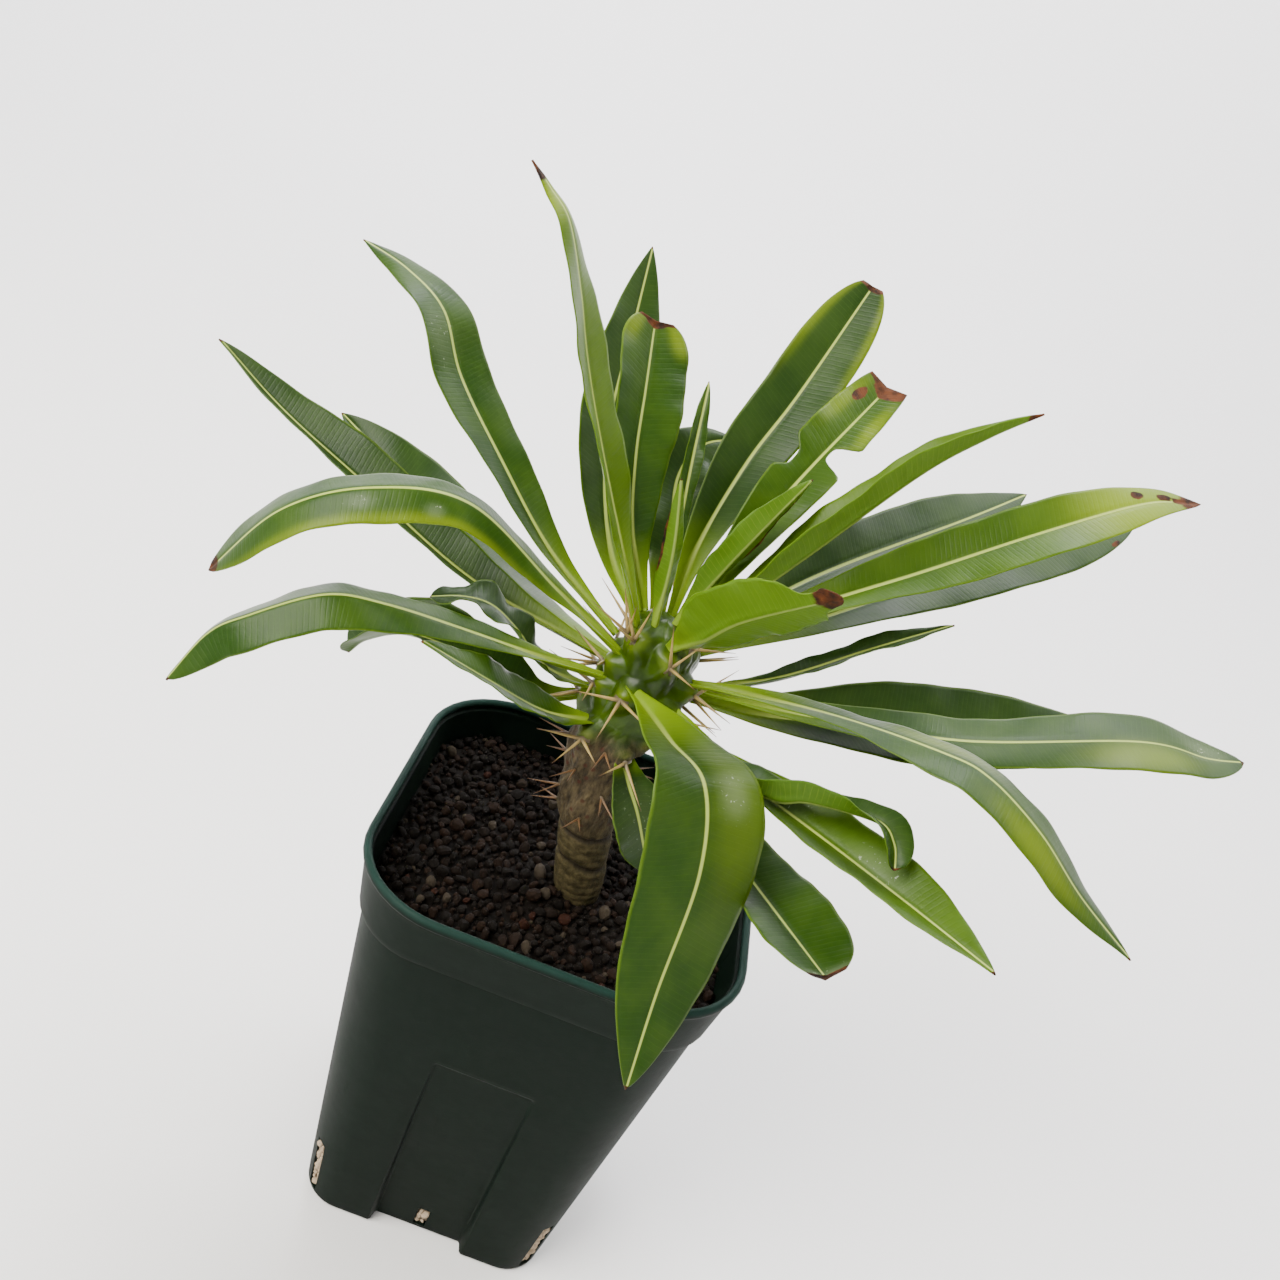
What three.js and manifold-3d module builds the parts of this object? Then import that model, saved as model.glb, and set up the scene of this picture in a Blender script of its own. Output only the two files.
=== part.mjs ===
// A potted Pachypodium menabeum: a spiny stem with a rosette of 31 long leaves, in a square nursery pot.
// Millimetres, +Z up. The origin is the middle of the pot's underside and the pot's front looks along -Y.
import * as THREE from "three";
import { mergeVertices } from "three/addons/utils/BufferGeometryUtils.js";
import Module from "manifold-3d";

const wasm = await Module();
wasm.setup();

// Driving dimensions
const GAP = 0.3; // clearance between pieces that meet
const LEAF_GAP = 0.65; // how far a leaf's base stands off the stem
const POT_HEIGHT = 135;
const POT_WALL = 1.5;
const RIM_WALL = 2.3;
const FLOOR = 2;
const BASE_HALF = 37.8; // half of the pot's width at the base
const BODY_TOP = 117; // where the collar starts
const BODY_TOP_HALF = 47.7;
const COLLAR_STEP = 1.2; // how far the collar stands out of the body
const RIM_HALF = 52.5;
const BASE_CORNER = 12; // corner radii at the base, under the collar and at the rim
const BODY_TOP_CORNER = 19;
const RIM_CORNER = 26.5;
const LIP_ROUND = 0.8;
const PANEL_HALF = 14.2; // recessed panel on each side
const PANEL_TOP = 82;
const PANEL_BASE_DEPTH = 3.6;
const PANEL_TOP_DEPTH = 1;
const SLOT_WIDTH = 3.7;
const CORNER_SLOT_TOP = 24;
const SIDE_SLOT_TOP = 11;
const GRIT_TOP = 25;
const SOIL_TOP = 123.5;
const GRAIN = 5; // width of one lump in the soil's surface relief
const GRAIN_HEIGHT = 1.5;
const BLADE = 0.7; // leaf thickness
const BLADE_ROWS = 17; // cross-sections along a leaf
const SPINE_RADIUS = 0.6; // a crown spine's radius at its root
const TRUNK_SPINE_RADIUS = 0.42;
const SPINE_ROOT = 2.5; // how deep a spine is rooted
const GOLDEN_ANGLE = 137.5;

// The stem from its root to its growing tip: height, centre x, centre y, radius
const STEM = [
  [98, 5, -6.5, 3],
  [112, 5, -6.5, 5.5],
  [122, 4.6, -6.5, 6.6],
  [128, 3.5, -7, 7.2],
  [136, 1.8, -7.5, 7.4],
  [146, -0.3, -8, 7.7],
  [157, -3, -8, 8],
  [168, -5, -7, 8.2],
  [178, -4, -5.5, 8.2],
  [185, -2, -4.5, 8.6],
  [191, -0.5, -3.5, 9],
  [197, -0.5, -3, 8.6],
  [202, -1, -3, 7],
  [206, -1.5, -3, 4.8],
  [209, -2, -3, 1.5],
];

// Leaves. path: points along the midrib from the root to the tip. width: across the flattened blade.
// fold: how far each half is lifted into a V, in degrees. roll: turn of the blade about its midrib.
// Both are lists spread evenly from the root to the tip.
// widest: share of the length. blunt: 0 pointed, 1 round. cut: share of the blade that is left, where its
// end is lost. notch: how far the margins reach past the midrib's end.
// wave and waves: height and number of the margin's waves. heading: the compass direction it leans to.
// bites: side, place along the leaf, half length and depth of a piece eaten out of the margin.
const LEAVES = [
  { path: [[-11, -1, 191], [-52, 8, 193], [-89, 16, 204], [-114, 21, 212], [-135, 25, 222]],
    width: 20, fold: [35, 38], roll: [-12], widest: 0.55 },
  { path: [[-11, 4, 189], [-30, 16, 188], [-48, 25, 190], [-80, 39, 197], [-107, 50, 205]],
    width: 26, fold: [10, -8, 6, 30], roll: [0, 8, -12, -35], widest: 0.55 },
  { path: [[-12, 4, 196], [-35, 13, 206], [-57, 24, 221], [-74, 31, 235], [-84, 36, 248], [-97, 41, 253],
      [-112, 48, 254]],
    width: 17, fold: [35, 15, -10], roll: [-15], widest: 0.62 },
  { path: [[-8, -6, 196], [-29, -11, 209], [-54, -18, 225], [-75, -25, 223], [-92, -30, 212], [-104, -33, 192]],
    width: 17, fold: [30, -20, -25, 0], roll: [-10, -20, -15], widest: 0.68, blunt: 0.5 },
  { path: [[-10, -8, 190], [-25, -14, 192], [-45, -22, 196], [-63, -31, 200], [-76, -37, 200], [-90, -43, 191],
      [-97, -45, 184], [-102, -50, 172]],
    width: 17, fold: [40, 0, -30, -30], roll: [0, -5, -10, -10], widest: 0.7, blunt: 0.4 },
  { path: [[-11, -1, 180], [-27, -1, 172], [-45, 1, 175], [-62, 1, 175], [-72, 1, 169], [-76, 1, 163]],
    width: 22, fold: [30, 35], roll: [-5], blunt: 0.8, wave: 1 },
  { path: [[-11, -5, 184], [-25, -6, 185], [-36, -7, 193], [-43, -8, 197], [-50, -9, 197], [-58, -10, 194]],
    width: 13, fold: [20, 10], wave: 1.5, waves: 4, blunt: 0.6 },
  { path: [[-6, -9, 178], [-21, -19, 181], [-36, -31, 191], [-52, -40, 200]],
    width: 17, fold: [20, 10], widest: 0.5 },
  { path: [[-8, -7, 206], [-18, -8, 223], [-32, -9, 247], [-41, -8, 263], [-47, -8, 276], [-54, -8, 289],
      [-60, -8, 294], [-65, -9, 298]],
    width: 17, fold: [18, 13, 17, 14, -2, -20], roll: [-12], widest: 0.45 },
  { path: [[-9, 4, 202], [-22, 13, 214], [-33, 29, 235], [-38, 50, 261], [-41, 62, 278]],
    width: 21, fold: [30, 10], widest: 0.5 },
  { path: [[-8, 2, 206], [-18, 7, 223], [-24, 13, 239], [-28, 23, 253], [-32, 34, 266]],
    width: 21, fold: [35, 12], widest: 0.78, blunt: 0.8, cut: 0.985, notch: 1 },
  { path: [[-3, 0, 208], [-10, 10, 240], [-14, 22, 261]],
    width: 5, fold: [30, 15], widest: 0.7, heading: 110 },
  { path: [[-4, -6, 206], [-7, -7, 227], [-12, -8, 246]],
    width: 6.5, fold: [45, 30], widest: 0.4, heading: -70 },
  { path: [[-5, 8, 204], [-8, 20, 219], [-12, 33, 231], [-9, 41, 239], [-1, 45, 243]],
    width: 18, fold: [20, 10], wave: 2, heading: 80 },
  { path: [[-1, 2, 207], [-1, 15, 223], [3, 30, 243], [9, 42, 261], [17, 62, 290]],
    width: 19.5, fold: [35, 8], roll: [6], widest: 0.58, blunt: 0.75, cut: 0.985 },
  { path: [[2, -1, 206], [7, 4, 224], [15, 17, 246], [29, 43, 270]],
    width: 17, fold: [35, 8], roll: [12], widest: 0.65, blunt: 0.9, cut: 0.95, notch: 2.5,
    bites: [[-1, 0.7, 0.05, 0.85], [-1, 0.88, 0.14, 0.2], [1, 0.62, 0.05, 0.4]] },
  { path: [[0, -4, 208], [6, -2, 227], [12, 2, 242], [17, 6, 253]],
    width: 10, fold: [35, 25], widest: 0.5, heading: -60 },
  { path: [[5, -3, 207], [24, 7, 235], [41, 14, 262], [53, 20, 275], [63, 24, 284]],
    width: 15, fold: [50, 50], roll: [-25], widest: 0.45 },
  { path: [[8, 1, 203], [34, 11, 223], [54, 19, 237], [79, 28, 256], [102, 39, 270], [117, 45, 274]],
    width: 18, fold: [35, 0], roll: [22], blunt: 0.2 },
  { path: [[9, 3, 200], [31, 17, 211], [60, 37, 227], [92, 60, 243], [118, 78, 254]],
    width: 21, fold: [30, 0], roll: [25], widest: 0.65, blunt: 0.3 },
  { path: [[7, 7, 200], [34, 40, 217], [73, 77, 237], [91, 96, 246]],
    width: 22, fold: [30, 0], roll: [20] },
  { path: [[1, -9, 204], [7, -16, 214], [13, -23, 226], [28, -35, 245]],
    width: 23, fold: [20, 5], roll: [-20], widest: 0.48, blunt: 0.4, heading: -60,
    bites: [[1, 0.9, 0.06, 0.4], [-1, 0.88, 0.06, 0.5]] },
  { path: [[11, 2, 190], [32, 11, 198], [52, 19, 212], [70, 25, 225]],
    width: 7.5, fold: [40, 20], widest: 0.65, wave: 0.6 },
  { path: [[12, 1, 188], [31, 7, 188], [54, 14, 191], [83, 23, 196], [110, 31, 202], [131, 38, 209]],
    width: 27, fold: [30, 5], roll: [25], widest: 0.55 },
  { path: [[11, -1, 192], [41, 3, 195], [82, 9, 202], [125, 15, 218], [144, 17, 220], [154, 19, 222]],
    width: 21, fold: [40, 0, 0], roll: [25, 8, 10], widest: 0.75, blunt: 0.4 },
  { path: [[9, -6, 196], [41, -18, 209], [66, -28, 216], [77, -33, 217], [91, -39, 212], [105, -43, 203],
      [121, -47, 195]],
    width: 17, fold: [40, -5, -15, -5], roll: [20, -5, 10, 10], widest: 0.62 },
  { path: [[8, -10, 184], [36, -28, 187], [64, -45, 188], [87, -66, 192]],
    width: 19, fold: [30, 25], roll: [12] },
  { path: [[7, -9, 190], [20, -23, 189], [35, -33, 191], [43, -36, 196], [57, -40, 200], [62, -43, 198],
      [64, -47, 194]],
    width: 14, fold: [20, 5, 40, 40, 30], roll: [10, 10, -30, -20, 40], widest: 0.5, blunt: 0.9, wave: 1,
    bites: [[1, 0.72, 0.14, 0.5], [-1, 0.72, 0.14, 0.4]] },
  { path: [[6, -10, 180], [24, -21, 171], [39, -32, 167], [58, -62, 171]],
    width: 24, fold: [25, 22], roll: [5], widest: 0.78, blunt: 0.6, cut: 0.98 },
  { path: [[-4, -13, 192], [8, -31, 194], [18, -43, 194], [24, -54, 179], [25, -67, 154], [26, -80, 137]],
    width: 29, fold: [35, 4, -6, 5], widest: 0.45, blunt: 0.2 },
  { path: [[-1, -11, 176], [4, -17, 170], [10, -22, 164], [18, -25, 151]],
    width: 16, fold: [20, 0], roll: [15] },
];
const PLAIN_LEAF = {
  fold: [30, 10], roll: [0], widest: 0.6, blunt: 0.1, cut: 1, notch: 0,
  wave: 0.5, waves: 3, heading: null, bites: [],
};

// Trunk nubs: worn leaf bases with short spines
const TRUNK_NUBS = 18;
const TRUNK_NUB_TOP = 177;
const TRUNK_NUB_STEP = 1.6;
// Spines that would run into a leaf are not grown
const NOT_GROWN = [
  6, 9, 12, 15, 16, 17, 18, 28, 29, 31, 32, 33, 34, 36, 40, 41, 46, 47, 48, 55, 56, 57, 59, 61, 67, 68, 69, 74, 75,
  81, 84, 85, 92,
];
const TRUNK_NOT_GROWN = 10;

// A number from 0 to 1 that depends only on the seed
function draw(seed) {
  const wide = Math.sin(seed * 12.9898) * 43758.5453;
  return wide - Math.floor(wide);
}

const radians = THREE.MathUtils.degToRad;

function clamp01(value) {
  return THREE.MathUtils.clamp(value, 0, 1);
}

// Solids for cutting and joining
function solidOf(geometry) {
  const bare = geometry.clone();
  bare.deleteAttribute("normal");
  bare.deleteAttribute("uv");
  const merged = mergeVertices(bare, 1e-4);
  return new wasm.Manifold(
    new wasm.Mesh({
      numProp: 3,
      vertProperties: Float32Array.from(merged.attributes.position.array),
      triVerts: Uint32Array.from(merged.index.array),
    }),
  );
}

function geometryOf(solid) {
  const mesh = solid.getMesh();
  const geometry = new THREE.BufferGeometry();
  geometry.setAttribute("position", new THREE.BufferAttribute(mesh.vertProperties, 3));
  geometry.setIndex(new THREE.BufferAttribute(mesh.triVerts, 1));
  geometry.computeVertexNormals();
  return geometry;
}

// The largest of the bodies that a cut leaves
function largest(solid) {
  return solid.decompose().sort((a, b) => b.volume() - a.volume())[0];
}

// A closed solid through rings of equally many points, which run anticlockwise seen from the last ring
function loft(rings) {
  const count = rings[0].length;
  const points = rings.flat();
  const middle = (ring) => ring.reduce((sum, p) => sum.add(p), new THREE.Vector3()).divideScalar(count);
  const firstMiddle = points.push(middle(rings[0])) - 1;
  const lastMiddle = points.push(middle(rings.at(-1))) - 1;
  const faces = [];
  for (let i = 0; i < count; i++) {
    const next = (i + 1) % count;
    for (let k = 0; k < rings.length - 1; k++) {
      const low = k * count;
      const high = low + count;
      faces.push(low + i, low + next, high + next);
      faces.push(low + i, high + next, high + i);
    }
    const top = (rings.length - 1) * count;
    faces.push(firstMiddle, next, i);
    faces.push(lastMiddle, top + i, top + next);
  }
  const geometry = new THREE.BufferGeometry().setFromPoints(points);
  geometry.setIndex(faces);
  return geometry;
}

// Pot
const CORNER_STEPS = 6;

function squareRing(half, corner, z) {
  const ring = [];
  for (let quarter = 0; quarter < 4; quarter++) {
    const middle = radians(45 + quarter * 90);
    const reach = (half - corner) * Math.SQRT2;
    for (let step = 0; step <= CORNER_STEPS; step++) {
      const angle = middle + radians(-45 + (90 * step) / CORNER_STEPS);
      const x = reach * Math.cos(middle) + corner * Math.cos(angle);
      const y = reach * Math.sin(middle) + corner * Math.sin(angle);
      ring.push(new THREE.Vector3(x, y, z));
    }
  }
  return ring;
}

// The space that the four recessed panels take out of the body, grown by a margin
function panels(margin) {
  const baseFace = BASE_HALF - PANEL_BASE_DEPTH - margin;
  const bodySlope = (BODY_TOP_HALF - BASE_HALF) / BODY_TOP;
  const topFace = BASE_HALF + bodySlope * PANEL_TOP - PANEL_TOP_DEPTH - margin;
  const side = new THREE.Shape([
    new THREE.Vector2(baseFace, -1),
    new THREE.Vector2(RIM_HALF + 10, -1),
    new THREE.Vector2(RIM_HALF + 10, PANEL_TOP + margin),
    new THREE.Vector2(topFace, PANEL_TOP + margin),
  ]);
  const width = 2 * (PANEL_HALF + margin);
  const wedge = new THREE.ExtrudeGeometry(side, { depth: width, bevelEnabled: false });
  wedge.translate(0, 0, -width / 2).rotateX(Math.PI / 2);
  let all = null;
  for (let turn = 0; turn < 4; turn++) {
    const one = solidOf(wedge.clone().rotateZ((turn * Math.PI) / 2));
    all = all ? all.add(one) : one;
  }
  return all;
}

function bodyHalf(z) {
  return BASE_HALF + ((BODY_TOP_HALF - BASE_HALF) * z) / BODY_TOP;
}

function bodyCorner(z) {
  return BASE_CORNER + ((BODY_TOP_CORNER - BASE_CORNER) * z) / BODY_TOP;
}

// The hollow inside the pot, drawn in by an inset on every side
function interior(inset, bottom, top) {
  const wall = POT_WALL + inset;
  const rimWall = RIM_WALL + inset;
  const rings = [
    squareRing(bodyHalf(bottom) - wall, bodyCorner(bottom) - wall, bottom),
    squareRing(BODY_TOP_HALF - wall, BODY_TOP_CORNER - wall, BODY_TOP),
  ];
  if (top > BODY_TOP) {
    rings.push(squareRing(RIM_HALF - rimWall, RIM_CORNER - rimWall, POT_HEIGHT - LIP_ROUND));
    rings.push(squareRing(RIM_HALF - rimWall, RIM_CORNER - rimWall, POT_HEIGHT + 5));
  }
  return solidOf(loft(rings)).subtract(panels(wall));
}

function slots() {
  const cornerReach = (BASE_HALF - BASE_CORNER) * Math.SQRT2 + BASE_CORNER;
  const sideReach = BASE_HALF - PANEL_BASE_DEPTH;
  const make = (reach, top, angle) => {
    const box = new THREE.BoxGeometry(9, SLOT_WIDTH, top - FLOOR);
    box.translate(reach, 0, (top + FLOOR) / 2).rotateZ(angle);
    return solidOf(box);
  };
  let all = make(cornerReach, CORNER_SLOT_TOP, Math.PI / 4);
  for (let turn = 0; turn < 4; turn++) {
    const angle = (turn * Math.PI) / 2;
    all = all.add(make(cornerReach, CORNER_SLOT_TOP, angle + Math.PI / 4));
    all = all.add(make(sideReach, SIDE_SLOT_TOP, angle));
  }
  return all;
}

function pot() {
  const shell = solidOf(
    loft([
      squareRing(BASE_HALF - 0.8, BASE_CORNER - 0.8, 0),
      squareRing(BASE_HALF, BASE_CORNER, 0.8),
      squareRing(BODY_TOP_HALF, BODY_TOP_CORNER, BODY_TOP),
      squareRing(BODY_TOP_HALF + COLLAR_STEP, BODY_TOP_CORNER + COLLAR_STEP, BODY_TOP + 0.6),
      squareRing(RIM_HALF - 0.4, RIM_CORNER - 0.4, POT_HEIGHT - 3),
      squareRing(RIM_HALF, RIM_CORNER, POT_HEIGHT - LIP_ROUND),
      squareRing(RIM_HALF - LIP_ROUND, RIM_CORNER - LIP_ROUND, POT_HEIGHT),
    ]),
  );
  return shell.subtract(panels(0)).subtract(interior(0, FLOOR, POT_HEIGHT)).subtract(slots());
}

// Stem
function stemAt(z) {
  const last = STEM.length - 1;
  let k = 0;
  while (k < last - 1 && STEM[k + 1][0] < z) k++;
  const [z0, ...from] = STEM[k];
  const [z1, ...to] = STEM[k + 1];
  const share = clamp01((z - z0) / (z1 - z0));
  return from.map((value, i) => value + (to[i] - value) * share);
}

// A bump on the stem: the direction it looks in, its height on the stem, its reach aside, up and down the
// stem and how far it stands out. A leaf's cushion drops steeply above the leaf and fades away below it.
function tubercleAt(point) {
  const [x, y] = stemAt(point[2]);
  return { angle: Math.atan2(point[1] - y, point[0] - x), z: point[2] - 1, aside: 3.2, up: 2.6, down: 6.5, out: 4.2 };
}

const leafTubercles = LEAVES.map((leaf) => tubercleAt(leaf.path[0]));
const trunkNubs = Array.from({ length: TRUNK_NUBS }, (_, k) => ({
  angle: radians(k * GOLDEN_ANGLE),
  z: TRUNK_NUB_TOP - k * TRUNK_NUB_STEP,
  aside: 2.6,
  up: 2.6,
  down: 2.6,
  out: 1.1,
}));
const bumps = [...leafTubercles, ...trunkNubs];

function stemRadius(angle, z) {
  const radius = stemAt(z)[2];
  let out = 0;
  for (const bump of bumps) {
    const turn = Math.atan2(Math.sin(angle - bump.angle), Math.cos(angle - bump.angle));
    const aside = (turn * Math.max(radius, 4)) / bump.aside;
    const along = (z - bump.z) / (z > bump.z ? bump.up : bump.down);
    out = Math.max(out, bump.out * Math.exp(-(aside * aside) - along * along));
  }
  return radius + out;
}

function stemPoint(angle, z, grow = 0) {
  const [x, y] = stemAt(z);
  const radius = stemRadius(angle, z) + grow;
  return new THREE.Vector3(x + radius * Math.cos(angle), y + radius * Math.sin(angle), z);
}

const STEM_SIDES = 24;

function stemBody(grow) {
  const bottom = STEM[0][0];
  const top = STEM.at(-1)[0];
  const rings = [];
  let z = bottom;
  while (z < top) {
    rings.push(z);
    z += z < 120 ? 8 : z < 148 ? 4 : 2.2;
  }
  rings.push(top);
  const heights = rings.map((height) => height + grow * Math.sign(height - (bottom + top) / 2));
  return solidOf(
    loft(
      rings.map((height, k) =>
        Array.from({ length: STEM_SIDES }, (_, i) => {
          const point = stemPoint((i * 2 * Math.PI) / STEM_SIDES, height, grow);
          point.z = k === 0 || k === rings.length - 1 ? heights[k] : height;
          return point;
        }),
      ),
    ),
  );
}

// One spine from a point on the stem: its compass angle and pitch, in degrees, and its length
function spine(angle, z, turn, pitch, length, radius) {
  const root = stemPoint(angle, z);
  const heading = angle + radians(turn);
  const way = new THREE.Vector3(
    Math.cos(heading) * Math.cos(radians(pitch)),
    Math.sin(heading) * Math.cos(radians(pitch)),
    Math.sin(radians(pitch)),
  );
  const cone = new THREE.ConeGeometry(radius, length + SPINE_ROOT, 3);
  cone.translate(0, (length + SPINE_ROOT) / 2 - SPINE_ROOT, 0);
  cone.applyQuaternion(new THREE.Quaternion().setFromUnitVectors(new THREE.Vector3(0, 1, 0), way));
  cone.translate(root.x, root.y, root.z);
  return solidOf(cone);
}

// Spines are numbered: 1 to 3 belong to the first leaf, 4 to 6 to the second, and so on.
// One stands to each side of the leaf's base and one below it; near the stem's tip they point more upwards.
function leafSpine(number) {
  const leaf = Math.floor((number - 1) / 3);
  const [turn, pitch] = [[-54, 0], [54, 4], [4, -30]][(number - 1) % 3];
  const { angle, z } = leafTubercles[leaf];
  const lift = clamp01((z - 190) / 14) * 62;
  const aside = turn + 18 * (draw(number) - 0.5);
  const rise = pitch + lift + 22 * (draw(number + 200) - 0.5);
  return spine(angle, z - 1, aside, rise, 10 + 5 * draw(number + 400), SPINE_RADIUS);
}

// Two short spines stand on each worn nub of the trunk
function trunkSpine(number) {
  const { angle, z } = trunkNubs[Math.floor(number / 2)];
  const turn = number % 2 ? 18 : -18;
  const rise = 30 * (draw(number + 600) - 0.5);
  return spine(angle, z, turn, rise, 5 + 4 * draw(number + 650), TRUNK_SPINE_RADIUS);
}

function stem() {
  let all = stemBody(0);
  for (let number = 1; number <= 3 * LEAVES.length; number++) {
    if (!NOT_GROWN.includes(number)) all = all.add(leafSpine(number));
  }
  for (let number = 0; number < 2 * TRUNK_NUBS; number++) {
    if (number !== TRUNK_NOT_GROWN) all = all.add(trunkSpine(number));
  }
  return largest(all);
}

// Soil and grit
function soil() {
  const half = RIM_HALF;
  const cells = Math.ceil((2 * half) / GRAIN);
  const block = new THREE.BoxGeometry(2 * half, 2 * half, 1, cells, cells, 1);
  const position = block.attributes.position;
  for (let i = 0; i < position.count; i++) {
    const column = Math.round((position.getX(i) + half) / GRAIN);
    const row = Math.round((position.getY(i) + half) / GRAIN);
    const height = SOIL_TOP + GRAIN_HEIGHT * (draw(column * 57 + row * 131) - 0.5);
    position.setZ(i, position.getZ(i) > 0 ? height : GRIT_TOP + GAP);
  }
  return solidOf(block).intersect(interior(GAP, FLOOR, POT_HEIGHT)).subtract(stemBody(GAP));
}

function drainageGrit() {
  const below = new THREE.BoxGeometry(2 * RIM_HALF, 2 * RIM_HALF, GRIT_TOP - FLOOR - GAP);
  below.translate(0, 0, (GRIT_TOP + FLOOR + GAP) / 2);
  return solidOf(below).intersect(interior(GAP, FLOOR, POT_HEIGHT));
}

// Leaves
// The value at t, from 0 to 1, of a list that is spread evenly along the leaf
function spread(list, t) {
  const place = t * (list.length - 1);
  const k = Math.min(Math.floor(place), Math.max(list.length - 2, 0));
  return list.length < 2 ? list[0] : list[k] + (list[k + 1] - list[k]) * (place - k);
}

// Half width as a share of the widest: a sine rise from the narrow petiole, then a fall to the tip
function halfShare(t, leaf) {
  const petiole = 0.14;
  const tipShare = 0.05;
  if (t < leaf.widest) {
    const rise = Math.sin(((t / leaf.widest) * Math.PI) / 2) ** 1.4;
    return petiole + (1 - petiole) * rise;
  }
  const past = (t - leaf.widest) / (1 - leaf.widest);
  return Math.max(tipShare, (1 - past ** (1.8 + 3 * leaf.blunt)) ** (1 - 0.55 * leaf.blunt));
}

function bitten(t, side, leaf) {
  return leaf.bites
    .filter((bite) => bite[0] === side)
    .reduce((share, [, place, reach, depth]) => share * (1 - depth * Math.exp(-(((t - place) / reach) ** 4))), 1);
}

// One cross-section: the two margins and the midrib, each with the blade's upward direction there
function section(leaf, row, point, tangent, side0) {
  const t = row / (BLADE_ROWS - 1);
  const side = side0.clone().addScaledVector(tangent, -side0.dot(tangent)).normalize();
  const up = tangent.clone().cross(side);
  const roll = radians(spread(leaf.roll, t));
  side.applyAxisAngle(tangent, roll);
  up.applyAxisAngle(tangent, roll);
  const fold = radians(spread(leaf.fold, t));
  const share = halfShare(t * leaf.cut, leaf);
  return [-1, 0, 1].map((across) => {
    const half = (leaf.width / 2) * share * bitten(t, across, leaf) * Math.abs(across);
    const shift = across < 0 ? 1.7 : 0;
    const ripple = leaf.wave * share * Math.abs(across) * Math.sin(2 * Math.PI * leaf.waves * t + shift);
    const place = point
      .clone()
      .addScaledVector(side, across * half * Math.cos(fold))
      .addScaledVector(up, half * Math.sin(fold) + ripple)
      .addScaledVector(tangent, leaf.notch * Math.abs(across) * t ** 12);
    const normal = up
      .clone()
      .multiplyScalar(Math.cos(fold * Math.abs(across)))
      .addScaledVector(side, -across * Math.sin(fold));
    return { place, normal };
  });
}

function blade(entry) {
  const leaf = { ...PLAIN_LEAF, ...entry };
  const points = leaf.path.map((p) => new THREE.Vector3(...p));
  const curve = new THREE.CatmullRomCurve3(points, false, "catmullrom", 0.5);
  const lean = points.at(-1).clone().sub(points[0]);
  const heading = leaf.heading === null ? Math.atan2(lean.y, lean.x) : radians(leaf.heading);
  const side0 = new THREE.Vector3(-Math.sin(heading), Math.cos(heading), 0);
  const spots = curve.getSpacedPoints(BLADE_ROWS - 1);
  const rings = spots.map((spot, row) => {
    const before = spots[Math.max(row - 1, 0)];
    const after = spots[Math.min(row + 1, BLADE_ROWS - 1)];
    const tangent = after.clone().sub(before).normalize();
    const parts = section(leaf, row, spot, tangent, side0);
    const face = (sign) => parts.map(({ place, normal }) => place.clone().addScaledVector(normal, (sign * BLADE) / 2));
    return [...face(-1), ...face(1).reverse()];
  });
  return rings;
}

// The blade's solid: both faces are split along the same diagonals
function bladeSolid(rings) {
  const points = rings.flat();
  const faces = [];
  const quad = (a, b, c, d) => faces.push(a, b, c, a, c, d);
  const flipped = (a, b, c, d) => faces.push(a, b, d, b, c, d);
  for (let row = 0; row < rings.length - 1; row++) {
    const near = row * 6;
    const far = near + 6;
    quad(near, near + 1, far + 1, far);
    quad(near + 1, near + 2, far + 2, far + 1);
    quad(near + 2, near + 3, far + 3, far + 2);
    flipped(near + 3, near + 4, far + 4, far + 3);
    flipped(near + 4, near + 5, far + 5, far + 4);
    quad(near + 5, near, far, far + 5);
  }
  const last = (rings.length - 1) * 6;
  quad(0, 5, 4, 1);
  quad(1, 4, 3, 2);
  quad(last, last + 1, last + 4, last + 5);
  quad(last + 1, last + 2, last + 3, last + 4);
  const geometry = new THREE.BufferGeometry().setFromPoints(points);
  geometry.setIndex(faces);
  return solidOf(geometry);
}

// Assembly
const FINISH = {
  pot: { color: 0x1d2a26, roughness: 0.45 },
  grit: { color: 0xb9a488, roughness: 0.95 },
  soil: { color: 0x241a15, roughness: 0.95 },
  stem: { color: 0x4d5a2c, roughness: 0.7 },
  leaf: { color: 0x3f6b23, roughness: 0.4 },
};

const plant = new THREE.Group();

function add(name, solid, finish) {
  const mesh = new THREE.Mesh(geometryOf(solid), new THREE.MeshStandardMaterial({ ...finish, metalness: 0 }));
  mesh.name = name;
  plant.add(mesh);
}

add("pot", pot(), FINISH.pot);
add("drainage_grit", drainageGrit(), FINISH.grit);
add("soil", soil(), FINISH.soil);
add("stem", stem(), FINISH.stem);

const aroundStem = stemBody(LEAF_GAP);
LEAVES.forEach((leaf, index) => {
  const name = "leaf_" + String(index + 1).padStart(2, "0");
  add(name, largest(bladeSolid(blade(leaf)).subtract(aroundStem)), FINISH.leaf);
});

export default plant;
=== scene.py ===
"""A potted Pachypodium menabeum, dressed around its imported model. Shapes are worked out in millimetres."""

import bpy
import numpy as np
from mathutils import Matrix


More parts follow.
